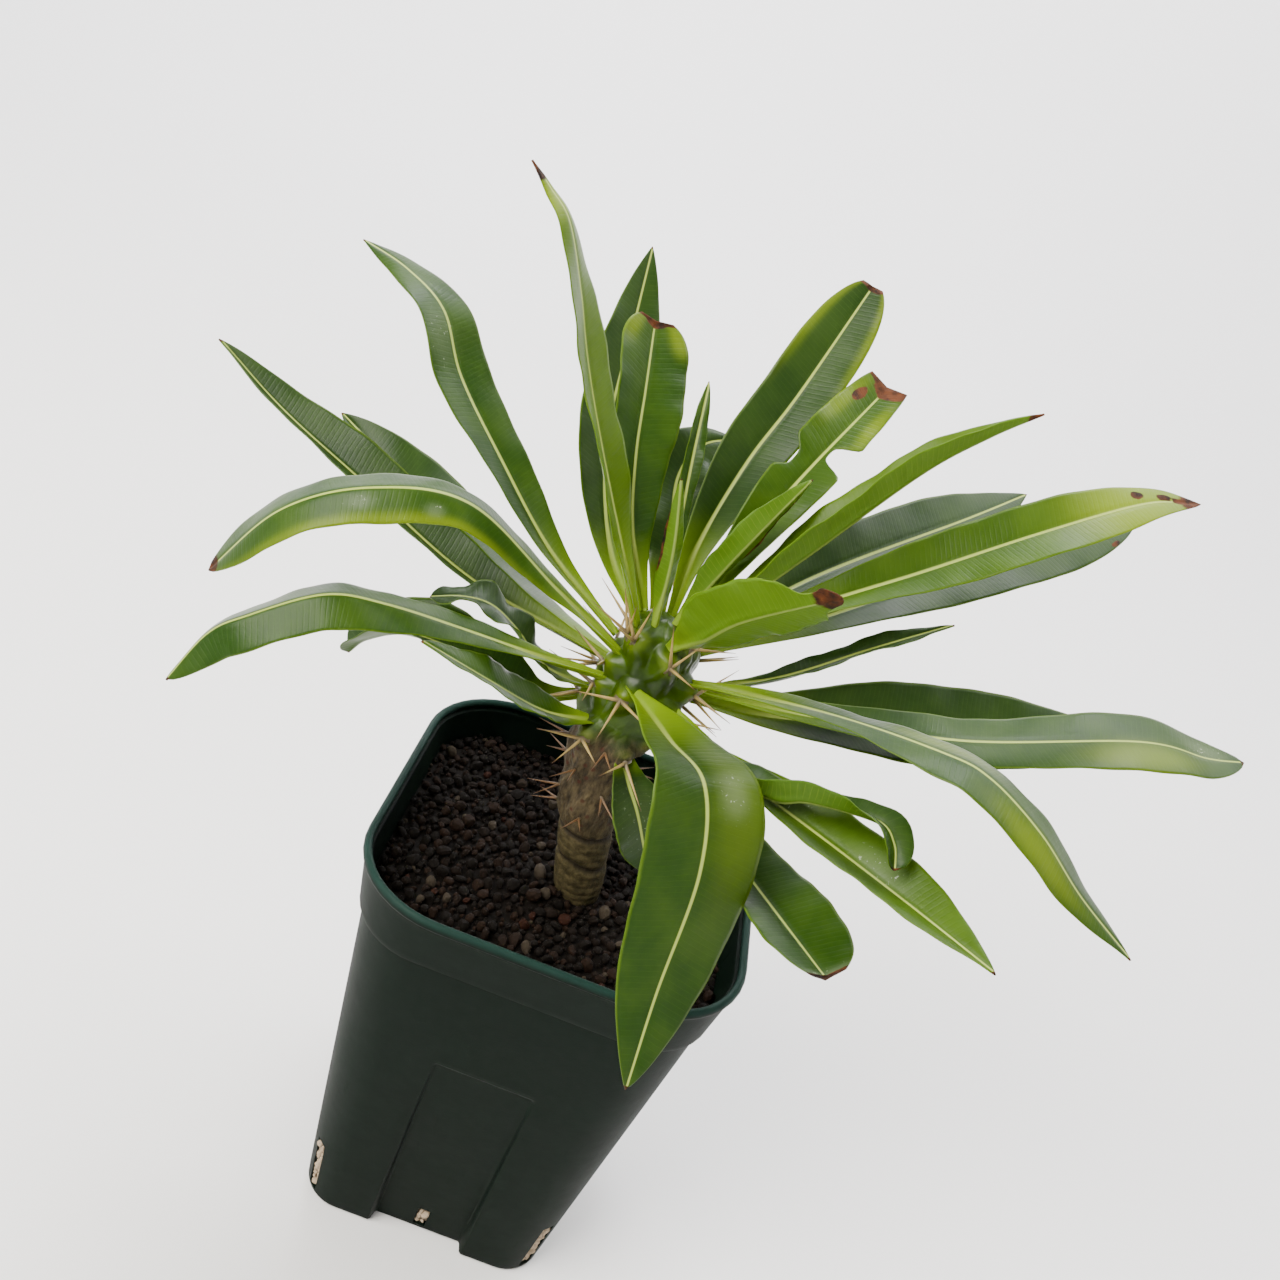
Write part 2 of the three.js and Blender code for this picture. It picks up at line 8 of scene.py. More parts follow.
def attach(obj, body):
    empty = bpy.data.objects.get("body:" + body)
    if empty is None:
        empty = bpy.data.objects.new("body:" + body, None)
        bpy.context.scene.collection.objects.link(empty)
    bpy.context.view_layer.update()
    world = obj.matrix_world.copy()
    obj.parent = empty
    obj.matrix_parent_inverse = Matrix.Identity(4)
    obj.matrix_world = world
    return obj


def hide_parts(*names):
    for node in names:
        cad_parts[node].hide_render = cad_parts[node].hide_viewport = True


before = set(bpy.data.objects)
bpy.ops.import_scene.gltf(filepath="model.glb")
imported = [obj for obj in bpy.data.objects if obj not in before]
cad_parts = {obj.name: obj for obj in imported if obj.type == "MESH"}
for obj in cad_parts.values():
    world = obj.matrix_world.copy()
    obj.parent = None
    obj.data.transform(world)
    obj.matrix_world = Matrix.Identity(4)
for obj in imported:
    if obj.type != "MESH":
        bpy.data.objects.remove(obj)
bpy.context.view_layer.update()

MM = 0.001
TURN = 2 * np.pi
GOLDEN_ANGLE = 137.5


# Camera, floor and lights

def put(data, axes, place):
    """An object for a camera or lamp, from its three axes and its place in metres."""
    holder = bpy.data.objects.new(data.name, data)
    rows = [(*parts, at) for *parts, at in zip(*axes, place)]
    holder.matrix_world = Matrix((*rows, (0, 0, 0, 1)))
    bpy.context.scene.collection.objects.link(holder)
    return holder


def place_camera():
    """The photograph's own view: a wide lens from above, held at a tilt."""
    camera = bpy.data.cameras.new("view")
    camera.sensor_fit = "HORIZONTAL"
    camera.sensor_width = 36
    camera.lens = 33.27
    camera.clip_start = 0.02
    right = (0.92764, 0.14070, 0.34596)
    up = (-0.37132, 0.44695, 0.81386)
    back = (-0.04012, -0.88343, 0.46685)
    bpy.context.scene.camera = put(camera, (right, up, back), (-0.01787, -0.26371, 0.33854))


def soft_light(name, place, aim, size, power, colour=(1, 1, 1)):
    """A round lamp at a place, turned towards its aim. Places and the size are in metres."""
    lamp = bpy.data.lights.new(name, "AREA")
    lamp.shape = "DISK"
    lamp.size = size
    lamp.energy = power
    lamp.color = colour
    back = np.subtract(place, aim)
    back = back / np.linalg.norm(back)
    side = np.cross((0, 0, 1), back)
    side = side / np.linalg.norm(side)
    put(lamp, (side, np.cross(back, side), back), place)


def light_scene():
    """A pale room, a warm window to the upper left, a soft ceiling and a lamp on the backdrop alone."""
    plant = (0, 0, 0.18)
    world = bpy.data.worlds.new("studio")
    bpy.context.scene.world = world
    world.use_nodes = True
    sky = world.node_tree.nodes["Background"]
    sky.inputs["Color"].default_value = (1.0, 0.98, 0.91, 1)
    sky.inputs["Strength"].default_value = 0.36
    soft_light("window", (-0.6, -0.5, 0.95), plant, size=0.8, power=28, colour=(1, 0.97, 0.88))
    soft_light("ceiling", (0.4, 0.4, 1.3), plant, size=0.9, power=15)
    soft_light("backdrop", (-0.3, 1.3, 2.6), (-0.3, 3, 0.9), size=1.2, power=165, colour=(0.97, 0.98, 1))


# Random draws and numbers

def draw(seed):
    """A number from 0 to 1 that depends only on the seed: the fraction of a very tall sine."""
    wide = np.sin(np.asarray(seed, float) * 12.9898) * 43758.5453
    return wide - np.floor(wide)


def smooth(low, high, value):
    """0 below low, 1 above high and an S-curve between."""
    share = np.clip((np.asarray(value, float) - low) / (high - low), 0, 1)
    return share * share * (3 - 2 * share)


def lumps(points, size, seed, waves=9):
    """Smooth roughness from -1 to 1: the mean of sines that run in scattered directions."""
    dice = np.random.default_rng(seed)
    total = 0
    for _ in range(waves):
        way = dice.normal(size=3)
        way *= TURN / (size * dice.uniform(0.7, 1.6)) / np.linalg.norm(way)
        total = total + np.sin(points @ way + dice.uniform(0, TURN))
    return total / waves ** 0.5 / 1.4


# Meshes

def smooth_object(name, points, faces, material):
    """An object with smooth shading, from points in metres and groups of faces."""
    mesh = bpy.data.meshes.new(name)
    polygons = [face for group in faces for face in np.asarray(group).tolist()]
    mesh.from_pydata(np.asarray(points).tolist(), [], polygons)
    mesh.update()
    mesh.shade_smooth()
    mesh.materials.append(material)
    item = bpy.data.objects.new(name, mesh)
    bpy.context.scene.collection.objects.link(item)
    return item


def stand(name, points, faces, nodes, slot, material, sharp=None, **values):
    """A piece from points in millimetres, with values for its points. It stands for CAD nodes."""
    item = smooth_object(name, np.asarray(points).reshape(-1, 3) * MM, faces, material)
    if sharp:
        item.data.set_sharp_from_angle(angle=np.radians(sharp))
    for key, value in values.items():
        layer = item.data.attributes.new(key, "FLOAT", "POINT")
        layer.data.foreach_set("value", np.asarray(value, np.float32).ravel())
    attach(item, "root")
    if nodes:
        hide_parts(*nodes)


def tube_faces(rings, count, first=0):
    """Quads between rings of equally many points, outward when each ring turns left about its path."""
    i = np.arange(count)
    low = first + np.arange(rings - 1)[:, None] * count
    after = (i + 1) % count
    return np.stack([low + i, low + after, low + count + after, low + count + i], -1).reshape(-1, 4)


def fan_faces(ring, middle, outward):
    """Triangles from a ring of points to one point."""
    after = np.roll(ring, -1)
    order = (ring, after) if outward else (after, ring)
    return np.stack([*order, np.full(len(ring), middle)], -1)


def closed_tube(rings, start, end):
    """Points and faces of a tube of rings, closed at its ends by fans round a start and an end point."""
    rows, count = rings.shape[:2]
    first, last = np.arange(count), np.arange(count) + (rows - 1) * count
    faces = [tube_faces(rows, count), fan_faces(first, rows * count, False),
             fan_faces(last, rows * count + 1, True)]
    return np.concatenate([rings.reshape(-1, 3), [start, end]]), faces


def spline(points, count):
    """A uniform Catmull-Rom curve, its ends extended in a straight line, at points equally far apart."""
    path = np.asarray(points, float)
    held = np.vstack([2 * path[0] - path[1], path, 2 * path[-1] - path[-2]])
    spans = len(path) - 1
    s = np.linspace(0, spans, 401)
    k = np.minimum(s.astype(int), spans - 1)
    u = (s - k)[:, None]
    before, start, end, after = held[k], held[k + 1], held[k + 2], held[k + 3]
    leave, arrive = (end - before) / 2, (after - start) / 2
    curve = (2 * u**3 - 3 * u**2 + 1) * start + (u**3 - 2 * u**2 + u) * leave
    curve += (3 * u**2 - 2 * u**3) * end + (u**3 - u**2) * arrive
    run = np.r_[0, np.cumsum(np.linalg.norm(np.diff(curve, axis=0), axis=1))]
    even = np.linspace(0, run[-1], count)
    return np.stack([np.interp(even, run, curve[:, axis]) for axis in range(3)], 1), run[-1]


# Shader maths

class Value:
    """A socket that Python's arithmetic can be written on."""

    def __init__(self, paint, socket):
        self.paint = paint
        self.socket = socket

    def maths(self, operation, *others):
        return self.paint.node("ShaderNodeMath", dict(operation=operation), self, *others)

    def __add__(self, other):
        return self.maths("ADD", other)

    __radd__ = __add__

    def __sub__(self, other):
        return self.maths("SUBTRACT", other)

    def __rsub__(self, other):
        return self.paint.node("ShaderNodeMath", dict(operation="SUBTRACT"), other, self)

    def __mul__(self, other):
        return self.maths("MULTIPLY", other)

    __rmul__ = __mul__

    def __truediv__(self, other):
        return self.maths("DIVIDE", other)

    def wave(self):
        return self.maths("SINE")

    def size(self):
        return self.maths("ABSOLUTE")

    def most(self, other):
        return self.maths("MAXIMUM", other)

    def step(self, low, high):
        """0 below low, 1 above high and an S-curve between."""
        settings = dict(interpolation_type="SMOOTHSTEP")
        return self.paint.node("ShaderNodeMapRange", settings, self, low, high, 0, 1)


class Paint:
    """A material with one Principled shader, and the nodes that feed it."""

    def __init__(self, name, specular):
        self.material = bpy.data.materials.new(name)
        self.material.use_nodes = True
        self.tree = self.material.node_tree
        self.shader = self.tree.nodes["Principled BSDF"]
        self.feed(self.shader, {"Specular IOR Level": specular})

    def feed(self, node, values):
        """Links or sets a node's sockets, by number or name. None leaves a socket as it is."""
        for key, value in values.items():
            socket = node.inputs[key]
            if isinstance(value, Value):
                self.tree.links.new(value.socket, socket)
            elif value is not None:
                socket.default_value = value

    def node(self, kind, settings, *inputs, out=0, **named):
        """One node: its settings first, then the values or links of its sockets, in order or by name."""
        node = self.tree.nodes.new(kind)
        for key, value in settings.items():
            setattr(node, key, value)
        self.feed(node, {**dict(enumerate(inputs)), **named})
        return Value(self, node.outputs[out])

    def place(self, stretch=(1, 1, 1)):
        """The object's own coordinates in millimetres. A stretch under 1 draws a pattern out that way."""
        at = self.node("ShaderNodeTexCoord", {}, out="Object")
        size = tuple(1 / MM * s for s in stretch)
        return self.node("ShaderNodeVectorMath", dict(operation="MULTIPLY"), at, size)

    def value(self, name):
        """A number that the mesh carries for each of its points."""
        return self.node("ShaderNodeAttribute", dict(attribute_name=name), out="Fac")

    def join(self, x, y, z=0.0):
        return self.node("ShaderNodeCombineXYZ", {}, x, y, z)

    def split(self, vector, axis):
        return self.node("ShaderNodeSeparateXYZ", {}, vector, out=axis)

    def noise(self, at, scale, detail=3.0, rough=0.55):
        return self.node("ShaderNodeTexNoise", {}, Vector=at, Scale=scale, Detail=detail, Roughness=rough)

    def cells(self, at, scale, feature="F1", out="Distance"):
        return self.node("ShaderNodeTexVoronoi", dict(feature=feature), Vector=at, Scale=scale, out=out)

    def blend(self, first, second, share):
        """Two colours mixed by a share from 0 to 1. Five sockets, for numbers and vectors, stay unused."""
        first, second = (colour if isinstance(colour, Value) else (*colour, 1) for colour in (first, second))
        unused = [None] * 5
        return self.node("ShaderNodeMix", dict(data_type="RGBA"), share, *unused, first, second, out=2)

    def coat(self, colour, *coats):
        """A colour with others laid over it in turn, each by its share from 0 to 1."""
        for over, share in coats:
            colour = self.blend(colour, over, share)
        return colour

    def finish(self, colour, roughness, relief, depth, strength=1.0):
        """The material, with a relief whose height of 1 stands for a depth in millimetres."""
        normal = self.node("ShaderNodeBump", {}, Strength=strength, Distance=depth * MM, Height=relief)
        self.feed(self.shader, {"Base Color": colour, "Roughness": roughness, "Normal": normal})
        return self.material


# Pot. The sizes of the base, the top of the body, the collar's top and the rim are half the width and the
# corner's radius. COLLAR_BEND: height, step outside and step inside.

POT_HEIGHT = 135
BODY_HEIGHT = 117
BASE, BODY_TOP, COLLAR_TOP, RIM = np.array([[37.8, 12], [47.7, 19], [51.6, 25.5], [52.5, 26.5]])
COLLAR_BEND = ((117.2, 0.5, 0), (117.6, 1.1, 0.1), (118.3, 1.35, 0.5), (119.5, 1.5, 1.2))
COLLAR_HEIGHT = 131.8
COLLAR_WALL = 1.9
LIP = 1.15
LIP_HEIGHT = 1.45
WALL = 1.5
FLOOR = 2
PANEL_TOP = 82
PANEL_EDGE = (14.7, 13.5)
PANEL_BASE_DEPTH = 3.6
PANEL_TOP_DEPTH = 1
CORNER_SLOT_TOP = 24
SIDE_SLOT_TOP = 11
SIDE_STATIONS = (1.85, 4, 8, 12, 13.2, 13.8, 14.4, 15, 19)
CORNER_STATIONS = (0, 9, 18, 27, 36.6, 45, 53.4, 63, 72, 81, 90)


def square_ring(half, corner):
    """Once round a square with round corners: straight stations on each side, then angles on each corner.
    Returns the points and, for each, how far it is from the middle of its side and which side it is on."""
    points, offs, sides = [], [], []
    flat = half - corner
    run = [s for s in SIDE_STATIONS if s < flat - 0.5]
    run += [flat - 0.4] * (len(SIDE_STATIONS) - len(run))
    across = [-s for s in run[::-1]] + [0] + run
    for quarter in range(4):
        angle = quarter * np.pi / 2
        out, along = np.array([np.cos(angle), np.sin(angle)]), np.array([-np.sin(angle), np.cos(angle)])
        for off in across:
            points.append(out * half + along * off)
            offs.append(off)
            sides.append(quarter)
        for degrees in CORNER_STATIONS:
            turn = np.radians(degrees)
            points.append(out * (flat + corner * np.cos(turn)) + along * (flat + corner * np.sin(turn)))
            offs.append(99)
            sides.append(quarter)
    return np.array(points), np.array(offs), np.array(sides)


def pot_profile():
    """Rows from the middle of the underside to the rim: half width, corner, height, and the same inside."""
    rows = []

    def add(outside, z, inside, inner_z):
        rows.append((*outside, z, *inside, inner_z))

    for share in (0.06, 0.3, 0.6, 0.84):
        add(BASE * share, 0, BASE * share, FLOOR)
    for outside, inside, rise in ((1.1, 1, 0), (0.35, 0.3, 0.3)):
        add(BASE - outside, rise, BASE - WALL - inside, FLOOR + rise)
    for z in (1, 2.2, 5, 8, 11, 14, 19, 24, 30, 38, 46, 54, 62, 70, 76, 80.4, 81.2, 82, 82.8, 84,
              90, 97, 104, 111, BODY_HEIGHT):
        size = BASE + (BODY_TOP - BASE) * z / BODY_HEIGHT
        add(size, z, size - WALL, max(z, FLOOR + 0.5))
    for z, outside, inside in COLLAR_BEND:
        add(BODY_TOP + outside, z, BODY_TOP - WALL + inside, z)
    low_z, step, _ = COLLAR_BEND[-1]
    low = BODY_TOP + step
    for share in (0.3, 0.6, 0.85, 1):
        size, z = low + (COLLAR_TOP - low) * share, low_z + (COLLAR_HEIGHT - low_z) * share
        add(size, z, size - COLLAR_WALL, z)
    for degrees in (-70, -45, -20, 0, 25, 50, 75, 90):
        turn = np.radians(degrees)
        out = LIP * np.cos(turn)
        z = POT_HEIGHT - LIP_HEIGHT + LIP_HEIGHT * np.sin(turn)
        add(RIM - LIP + out, z, RIM - LIP - out, z)
    return np.array(rows)


def recessed(points, offs, sides, z, half):
    """Moves the middle of each side in to its recessed panel, over soft edges."""
    depth = PANEL_BASE_DEPTH + (PANEL_TOP_DEPTH - PANEL_BASE_DEPTH) * z / PANEL_TOP
    inset = depth * smooth(*PANEL_EDGE, np.abs(offs)) * smooth(PANEL_TOP + 0.6, PANEL_TOP - 1, z)
    angle = sides * np.pi / 2
    inward = np.stack([-np.cos(angle), -np.sin(angle)], 1)
    return points + inward * (inset * (half > BASE[0] * 0.9))[:, None]


def shell_faces(outer, closed):
    """Faces of a wall between two like grids, with an edge face wherever the wall stops."""
    rows, columns = outer.shape[:2]
    number = np.arange(rows * columns).reshape(rows, columns)
    r, c = np.nonzero(closed)
    n = (c + 1) % columns
    corners = np.stack([number[r, c], number[r, n], number[r + 1, n], number[r + 1, c]], 1)
    inner = rows * columns
    faces = [corners, corners[:, ::-1] + inner]
    ring = np.vstack([np.ones(columns, bool), closed, np.zeros(columns, bool)])
    beside = (ring[r, c], ring[r + 1, n], ring[r + 2, c], ring[r + 1, (c - 1) % columns])
    for edge, kept in enumerate(beside):
        start, end = corners[~kept, edge], corners[~kept, (edge + 1) % 4]
        faces.append(np.stack([end, start, start + inner, end + inner], 1))
    return faces


def make_pot(material):
    """The profile's rows as square rings, outside and inside, with the drain slots left open."""
    profile = pot_profile()
    outer, inner, lip = [], [], []
    for half, corner, z, inner_half, inner_corner, inner_z in profile:
        flat_outer, offs, sides = square_ring(half, corner)
        flat_inner, _, _ = square_ring(inner_half, max(inner_corner, 0.3))
        flat_outer = recessed(flat_outer, offs, sides, z, half)
        flat_inner = recessed(flat_inner, offs, sides, z, half)
        outer.append(np.column_stack([flat_outer, np.full(len(offs), z)]))
        inner.append(np.column_stack([flat_inner, np.full(len(offs), inner_z)]))
        # Share of the painted highlight along the rolled top edge, rising over its last 1.8 mm.
        lip.append(np.full(len(offs), smooth(POT_HEIGHT - 1.8, POT_HEIGHT - 0.3, z)))
    outer, inner = np.array(outer), np.array(inner)
    rows, columns = outer.shape[:2]
    closed = np.ones((rows - 1, columns), bool)
    height = profile[:-1, 2]
    quarter = columns // 4
    middle = len(SIDE_STATIONS)
    slot = 2 * middle + 1 + CORNER_STATIONS.index(36.6)
    for first in range(0, columns, quarter):
        for top, station in ((SIDE_SLOT_TOP, first + middle - 1), (CORNER_SLOT_TOP, first + slot)):
            closed[np.ix_((height > 1) & (height < top), [station, station + 1])] = False
    faces = shell_faces(outer, closed)
    points = np.concatenate([outer.reshape(-1, 3), inner.reshape(-1, 3), [[0, 0, 0], [0, 0, FLOOR]]])
    first = np.arange(columns)
    below, above = len(points) - 2, len(points) - 1
    faces += [fan_faces(first, below, False), fan_faces(first + rows * columns, above, True)]
    lip = np.concatenate([*lip, *lip, [0, 0]])
    stand("pot", points, faces, ["pot"], "pot", material, sharp=35, lip=lip)


def pot_material():
    """Dark green moulded plastic: satin, faintly mottled, with dust low down and a painted highlight, paler
    teal, along the rolled top edge.
    """
    paint = Paint("moulded_green_plastic", specular=0.06)
    at = paint.place()
    height = paint.split(at, 2)
    mottle = paint.noise(at, 0.05, 4)
    scratch = paint.noise(paint.place(stretch=(1, 1, 0.12)), 0.55, 4, 0.7).step(0.6, 0.78)
    dust = paint.noise(at, 0.16, 6, 0.7).step(0.5, 0.8) * (1 - height.step(10, 70)) * 0.5
    lip = paint.value("lip")
    # The paler teal coat on the rolled top edge is a painted highlight.
    green = paint.coat((0.001, 0.0038, 0.002), ((0.002, 0.0062, 0.0034), mottle),
                       ((0.014, 0.019, 0.016), scratch * 0.12 + dust * 0.3),
                       ((0.012, 0.035, 0.028), lip * 0.7))
    roughness = 0.5 + mottle * 0.12 + scratch * 0.12 - lip * 0.1
    grain = paint.noise(at, 2.2, 3) * 0.25 + paint.noise(at, 0.12, 2)
    return paint.finish(green, roughness, grain, depth=0.25, strength=0.5)


# Soil and grit. FOOT_STONES: x, y and size. SIZE_CLASSES: least and greatest size, and how many places are
# tried. BED_SIDES: height and half width.

SOIL_LEVEL = 122
SOIL_REACH = 49
INNER_HALF = 48.6
INNER_CORNER = 21.5
BED_HALF = 48.3
BED_CORNER = 21.2
BED_TINT = 0.3
GRIT_TOP = 26
BED_SIDES = ((GRIT_TOP, 34), (60, 38), (118, 45.5))
STEM_FOOT = (4.5, -6.5)
STEM_CLEARANCE = 6.6
HEAP_HEIGHT = 1.2
HEAP_REACH = 15
FOOT_STONES = [(-6.6, -9, 5.8), (-3.6, -15.2, 4.9), (13.8, -13, 5.2)]
FOOT_STONE_TINT = 0.96
SIZE_CLASSES = ((3.6, 4.6, 260), (2.9, 3.6, 1500), (2.1, 2.9, 4500), (1.5, 2.1, 7000))
STONE_SHAPES = 8
COARSE = 2.9


def stone_shapes(count, level):
    """Unit stones: an icosahedron's points, split level times, pushed in and out by sines."""
    golden = (1 + 5**0.5) / 2
    points = [(-1, golden, 0), (1, golden, 0), (-1, -golden, 0), (1, -golden, 0),
              (0, -1, golden), (0, 1, golden), (0, -1, -golden), (0, 1, -golden),
              (golden, 0, -1), (golden, 0, 1), (-golden, 0, -1), (-golden, 0, 1)]
    faces = [(0, 11, 5), (0, 5, 1), (0, 1, 7), (0, 7, 10), (0, 10, 11), (1, 5, 9), (5, 11, 4), (11, 10, 2),
             (10, 7, 6), (7, 1, 8), (3, 9, 4), (3, 4, 2), (3, 2, 6), (3, 6, 8), (3, 8, 9), (4, 9, 5),
             (2, 4, 11), (6, 2, 10), (8, 6, 7), (9, 8, 1)]
    for _ in range(level):
        halves, finer = {}, []
        for a, b, c in faces:
            corners = []
            for pair in ((a, b), (b, c), (c, a)):
                key = tuple(sorted(pair))
                if key not in halves:
                    halves[key] = len(points)
                    points.append(tuple(np.add(points[pair[0]], points[pair[1]]) / 2))
                corners.append(halves[key])
            ab, bc, ca = corners
            finer += [(a, ab, ca), (b, bc, ab), (c, ca, bc), (ab, bc, ca)]
        faces = finer
    unit = np.array(points, float)
    unit /= np.linalg.norm(unit, axis=1)[:, None]
    shapes = [unit * (1 + 0.3 * lumps(unit, 2.2, 900 + k, 5)[:, None]) for k in range(count)]
    return np.array(shapes), np.array(faces)


def turned(dice, count):
    """Random turns, each a matrix from a unit quaternion."""
    w, x, y, z = dice.normal(size=(4, count))
    size = np.sqrt(w * w + x * x + y * y + z * z)
    w, x, y, z = w / size, x / size, y / size, z / size
    return np.array([
        [1 - 2 * (y * y + z * z), 2 * (x * y - w * z), 2 * (x * z + w * y)],
        [2 * (x * y + w * z), 1 - 2 * (x * x + z * z), 2 * (y * z - w * x)],
        [2 * (x * z - w * y), 2 * (y * z + w * x), 1 - 2 * (x * x + y * y)],
    ]).transpose(2, 0, 1)


def stones(dice, places, sizes, level, first=0):
    """One mesh of many stones: each a turned, flattened unit stone at its place. Returns its points, its
    faces, which count points from first on, and how many points one stone has."""
    shapes, faces = stone_shapes(STONE_SHAPES, level)
    count = len(places)
    squash = dice.uniform(0.62, 1.0, (count, 1, 3))
    points = shapes[dice.integers(0, STONE_SHAPES, count)] * squash
    points = np.einsum("nij,npj->npi", turned(dice, count), points)
    points = points * (sizes / 2)[:, None, None] + places[:, None, :]
    start = first + np.arange(count)[:, None, None] * shapes.shape[1]
    return points.reshape(-1, 3), (faces[None] + start).reshape(-1, 3), shapes.shape[1]


def inside_pot(x, y, margin):
    """How far a point is inside the pot's inner wall at soil level, in millimetres."""
    half, corner = INNER_HALF - margin, INNER_CORNER - margin
    dx, dy = np.abs(x) - (half - corner), np.abs(y) - (half - corner)
    outside = np.hypot(np.maximum(dx, 0), np.maximum(dy, 0)) + np.minimum(np.maximum(dx, dy), 0)
    return corner - outside


def scatter(dice, low, high, tries, placed):
    """Places for stones of one size class on the soil, clear of the wall, the stem and one another."""
    spots = dice.uniform(-SOIL_REACH, SOIL_REACH, (tries, 2))
    sizes = dice.uniform(low, high, tries)
    keep = inside_pot(spots[:, 0], spots[:, 1], sizes * 0.45) > 0
    keep &= np.hypot(spots[:, 0] - STEM_FOOT[0], spots[:, 1] - STEM_FOOT[1]) > STEM_CLEARANCE + sizes * 0.35
    for spot, size in zip(spots[keep], sizes[keep]):
        if placed:
            others = np.array(placed)
            apart = np.hypot(others[:, 0] - spot[0], others[:, 1] - spot[1])
            if np.any(apart < 0.36 * (others[:, 2] + size)):
                continue
        placed.append((spot[0], spot[1], size))


def soil_height(x, y):
    """Level ground with shallow waves, heaped a little round the stem."""
    away = np.hypot(x - STEM_FOOT[0], y - STEM_FOOT[1])
    heap = HEAP_HEIGHT * np.exp(-((away / HEAP_REACH) ** 2))
    return SOIL_LEVEL + heap + 0.7 * lumps(np.stack([x, y, 0 * x], -1), 18, 5)


def make_soil(material):
    """Loose grains, the coarse ones finer shaped, packed on a closed bed."""
    dice = np.random.default_rng(11)
    placed = list(FOOT_STONES)
    for low, high, tries in SIZE_CLASSES:
        scatter(dice, low, high, tries, placed)
    placed = np.array(placed)
    x, y, size = placed.T
    lift = dice.uniform(0.1, 0.45, len(size)) * size
    places = np.stack([x, y, soil_height(x, y) + lift], 1)
    tint = dice.uniform(0, 1, len(size))
    tint[: len(FOOT_STONES)] = FOOT_STONE_TINT
    points, faces, values = [], [], []
    for level, chosen in ((1, size > COARSE), (0, size <= COARSE)):
        first = sum(len(group) for group in points)
        stone_points, stone_faces, each = stones(dice, places[chosen], size[chosen], level, first)
        points.append(stone_points)
        faces.append(stone_faces)
        values.append(np.repeat(tint[chosen], each))
    tint = np.concatenate(values)
    stand("soil_grains", np.concatenate(points), faces, ["soil"], "soil", material, sharp=24, tint=tint)
    rings = []
    for z, half in BED_SIDES:
        ring, _, _ = square_ring(half, half * 0.4)
        rings.append(np.column_stack([ring, np.full(len(ring), z)]))
    for share in np.linspace(1, 0.02, 34):
        ring, _, _ = square_ring(BED_HALF * share, BED_CORNER * share)
        rings.append(np.column_stack([ring, soil_height(ring[:, 0], ring[:, 1])]))
    points, faces = closed_tube(np.array(rings), (0, 0, GRIT_TOP), (0, 0, soil_height(0, 0)))
    stand("soil_bed", points, faces, ["soil"], "soil", material, tint=np.full(len(points), BED_TINT))


def soil_material():
    """Damp volcanic grit: near-black grains, some dark brown, a few reddish, and grey-brown stones."""
    paint = Paint("mineral_soil", specular=0.1)
    tint = paint.value("tint")
    at = paint.place()
    grain = paint.noise(at, 1.6, 5, 0.7)
    dark = paint.blend((0.0014, 0.001, 0.0007), (0.007, 0.0046, 0.003), grain)
    brown = paint.blend((0.004, 0.0022, 0.0013), (0.02, 0.01, 0.0055), grain)
    colour = paint.coat(dark, (brown, tint.step(0.4, 0.9)),
                        ((0.034, 0.026, 0.018), tint.step(0.953, 0.957)),
                        ((0.02, 0.0065, 0.0032), tint.step(0.985, 0.99)))
    return paint.finish(colour, 0.5 + grain * 0.3, paint.noise(at, 3, 5, 0.75), depth=0.35, strength=0.9)


def make_grit(material):
    """Pale stones behind the slots, in front of the block of grit."""
    dice = np.random.default_rng(23)
    lean = 0.115
    spots = []
    for side in range(4):
        for turn, reach, top in ((0, 33.3, SIDE_SLOT_TOP - 1), (np.pi / 4, 47.4, CORNER_SLOT_TOP - 1)):
            angle = side * np.pi / 2 + turn
            for z in np.arange(3.4, top, 1.7):
                for off in (-0.88, 0.792):
                    across = off + dice.uniform(-0.4, 0.4)
                    out = reach + lean * z + dice.uniform(-0.5, 0.1)
                    x = out * np.cos(angle) - across * np.sin(angle)
                    y = out * np.sin(angle) + across * np.cos(angle)
                    spots.append((x, y, z + dice.uniform(-0.5, 0.5)))
    places = np.array(spots)
    sizes = dice.uniform(1.5, 2.7, len(places))
    points, faces, _ = stones(dice, places, sizes, 1)
    stand("grit_in_slots", points, [faces], [], "grit", material)
    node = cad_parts["drainage_grit"]
    node.data.materials.clear()
    node.data.materials.append(material)


def grit_material():
    """Pale tan pumice."""
    paint = Paint("pumice", specular=0.3)
    at = paint.place()
    grain = paint.noise(at, 0.8, 5, 0.7)
    spots = paint.cells(at, 0.9)
    colour = paint.coat((0.2, 0.14, 0.09), ((0.55, 0.44, 0.31), grain),
                        ((0.1, 0.065, 0.04), (1 - spots.step(0, 0.35)) * 0.5))
    return paint.finish(colour, 0.9, grain + spots * 0.5, depth=0.6, strength=0.8)


# Leaves: the same midribs and widths, in millimetres, as the solids.
# path: points along the midrib from the root to the tip. width: across the flattened blade, at most.
# fold: how far each half is lifted into a V, and roll: turn about the midrib, spread evenly along the leaf.
# widest: share of the length. blunt: 0 pointed, 1 round. cut: share of the blade that is left, where its end
# is lost. notch: how far the margins reach past the midrib's end. wave and waves: height and number of the
# margin's waves. heading: the compass direction it leans to. bites: side, place along, half length, depth.
# tone: 0 dark green, 1 light. fresh: how yellow-green. marks: kind, place along and across, half length,
# half breadth and strength.

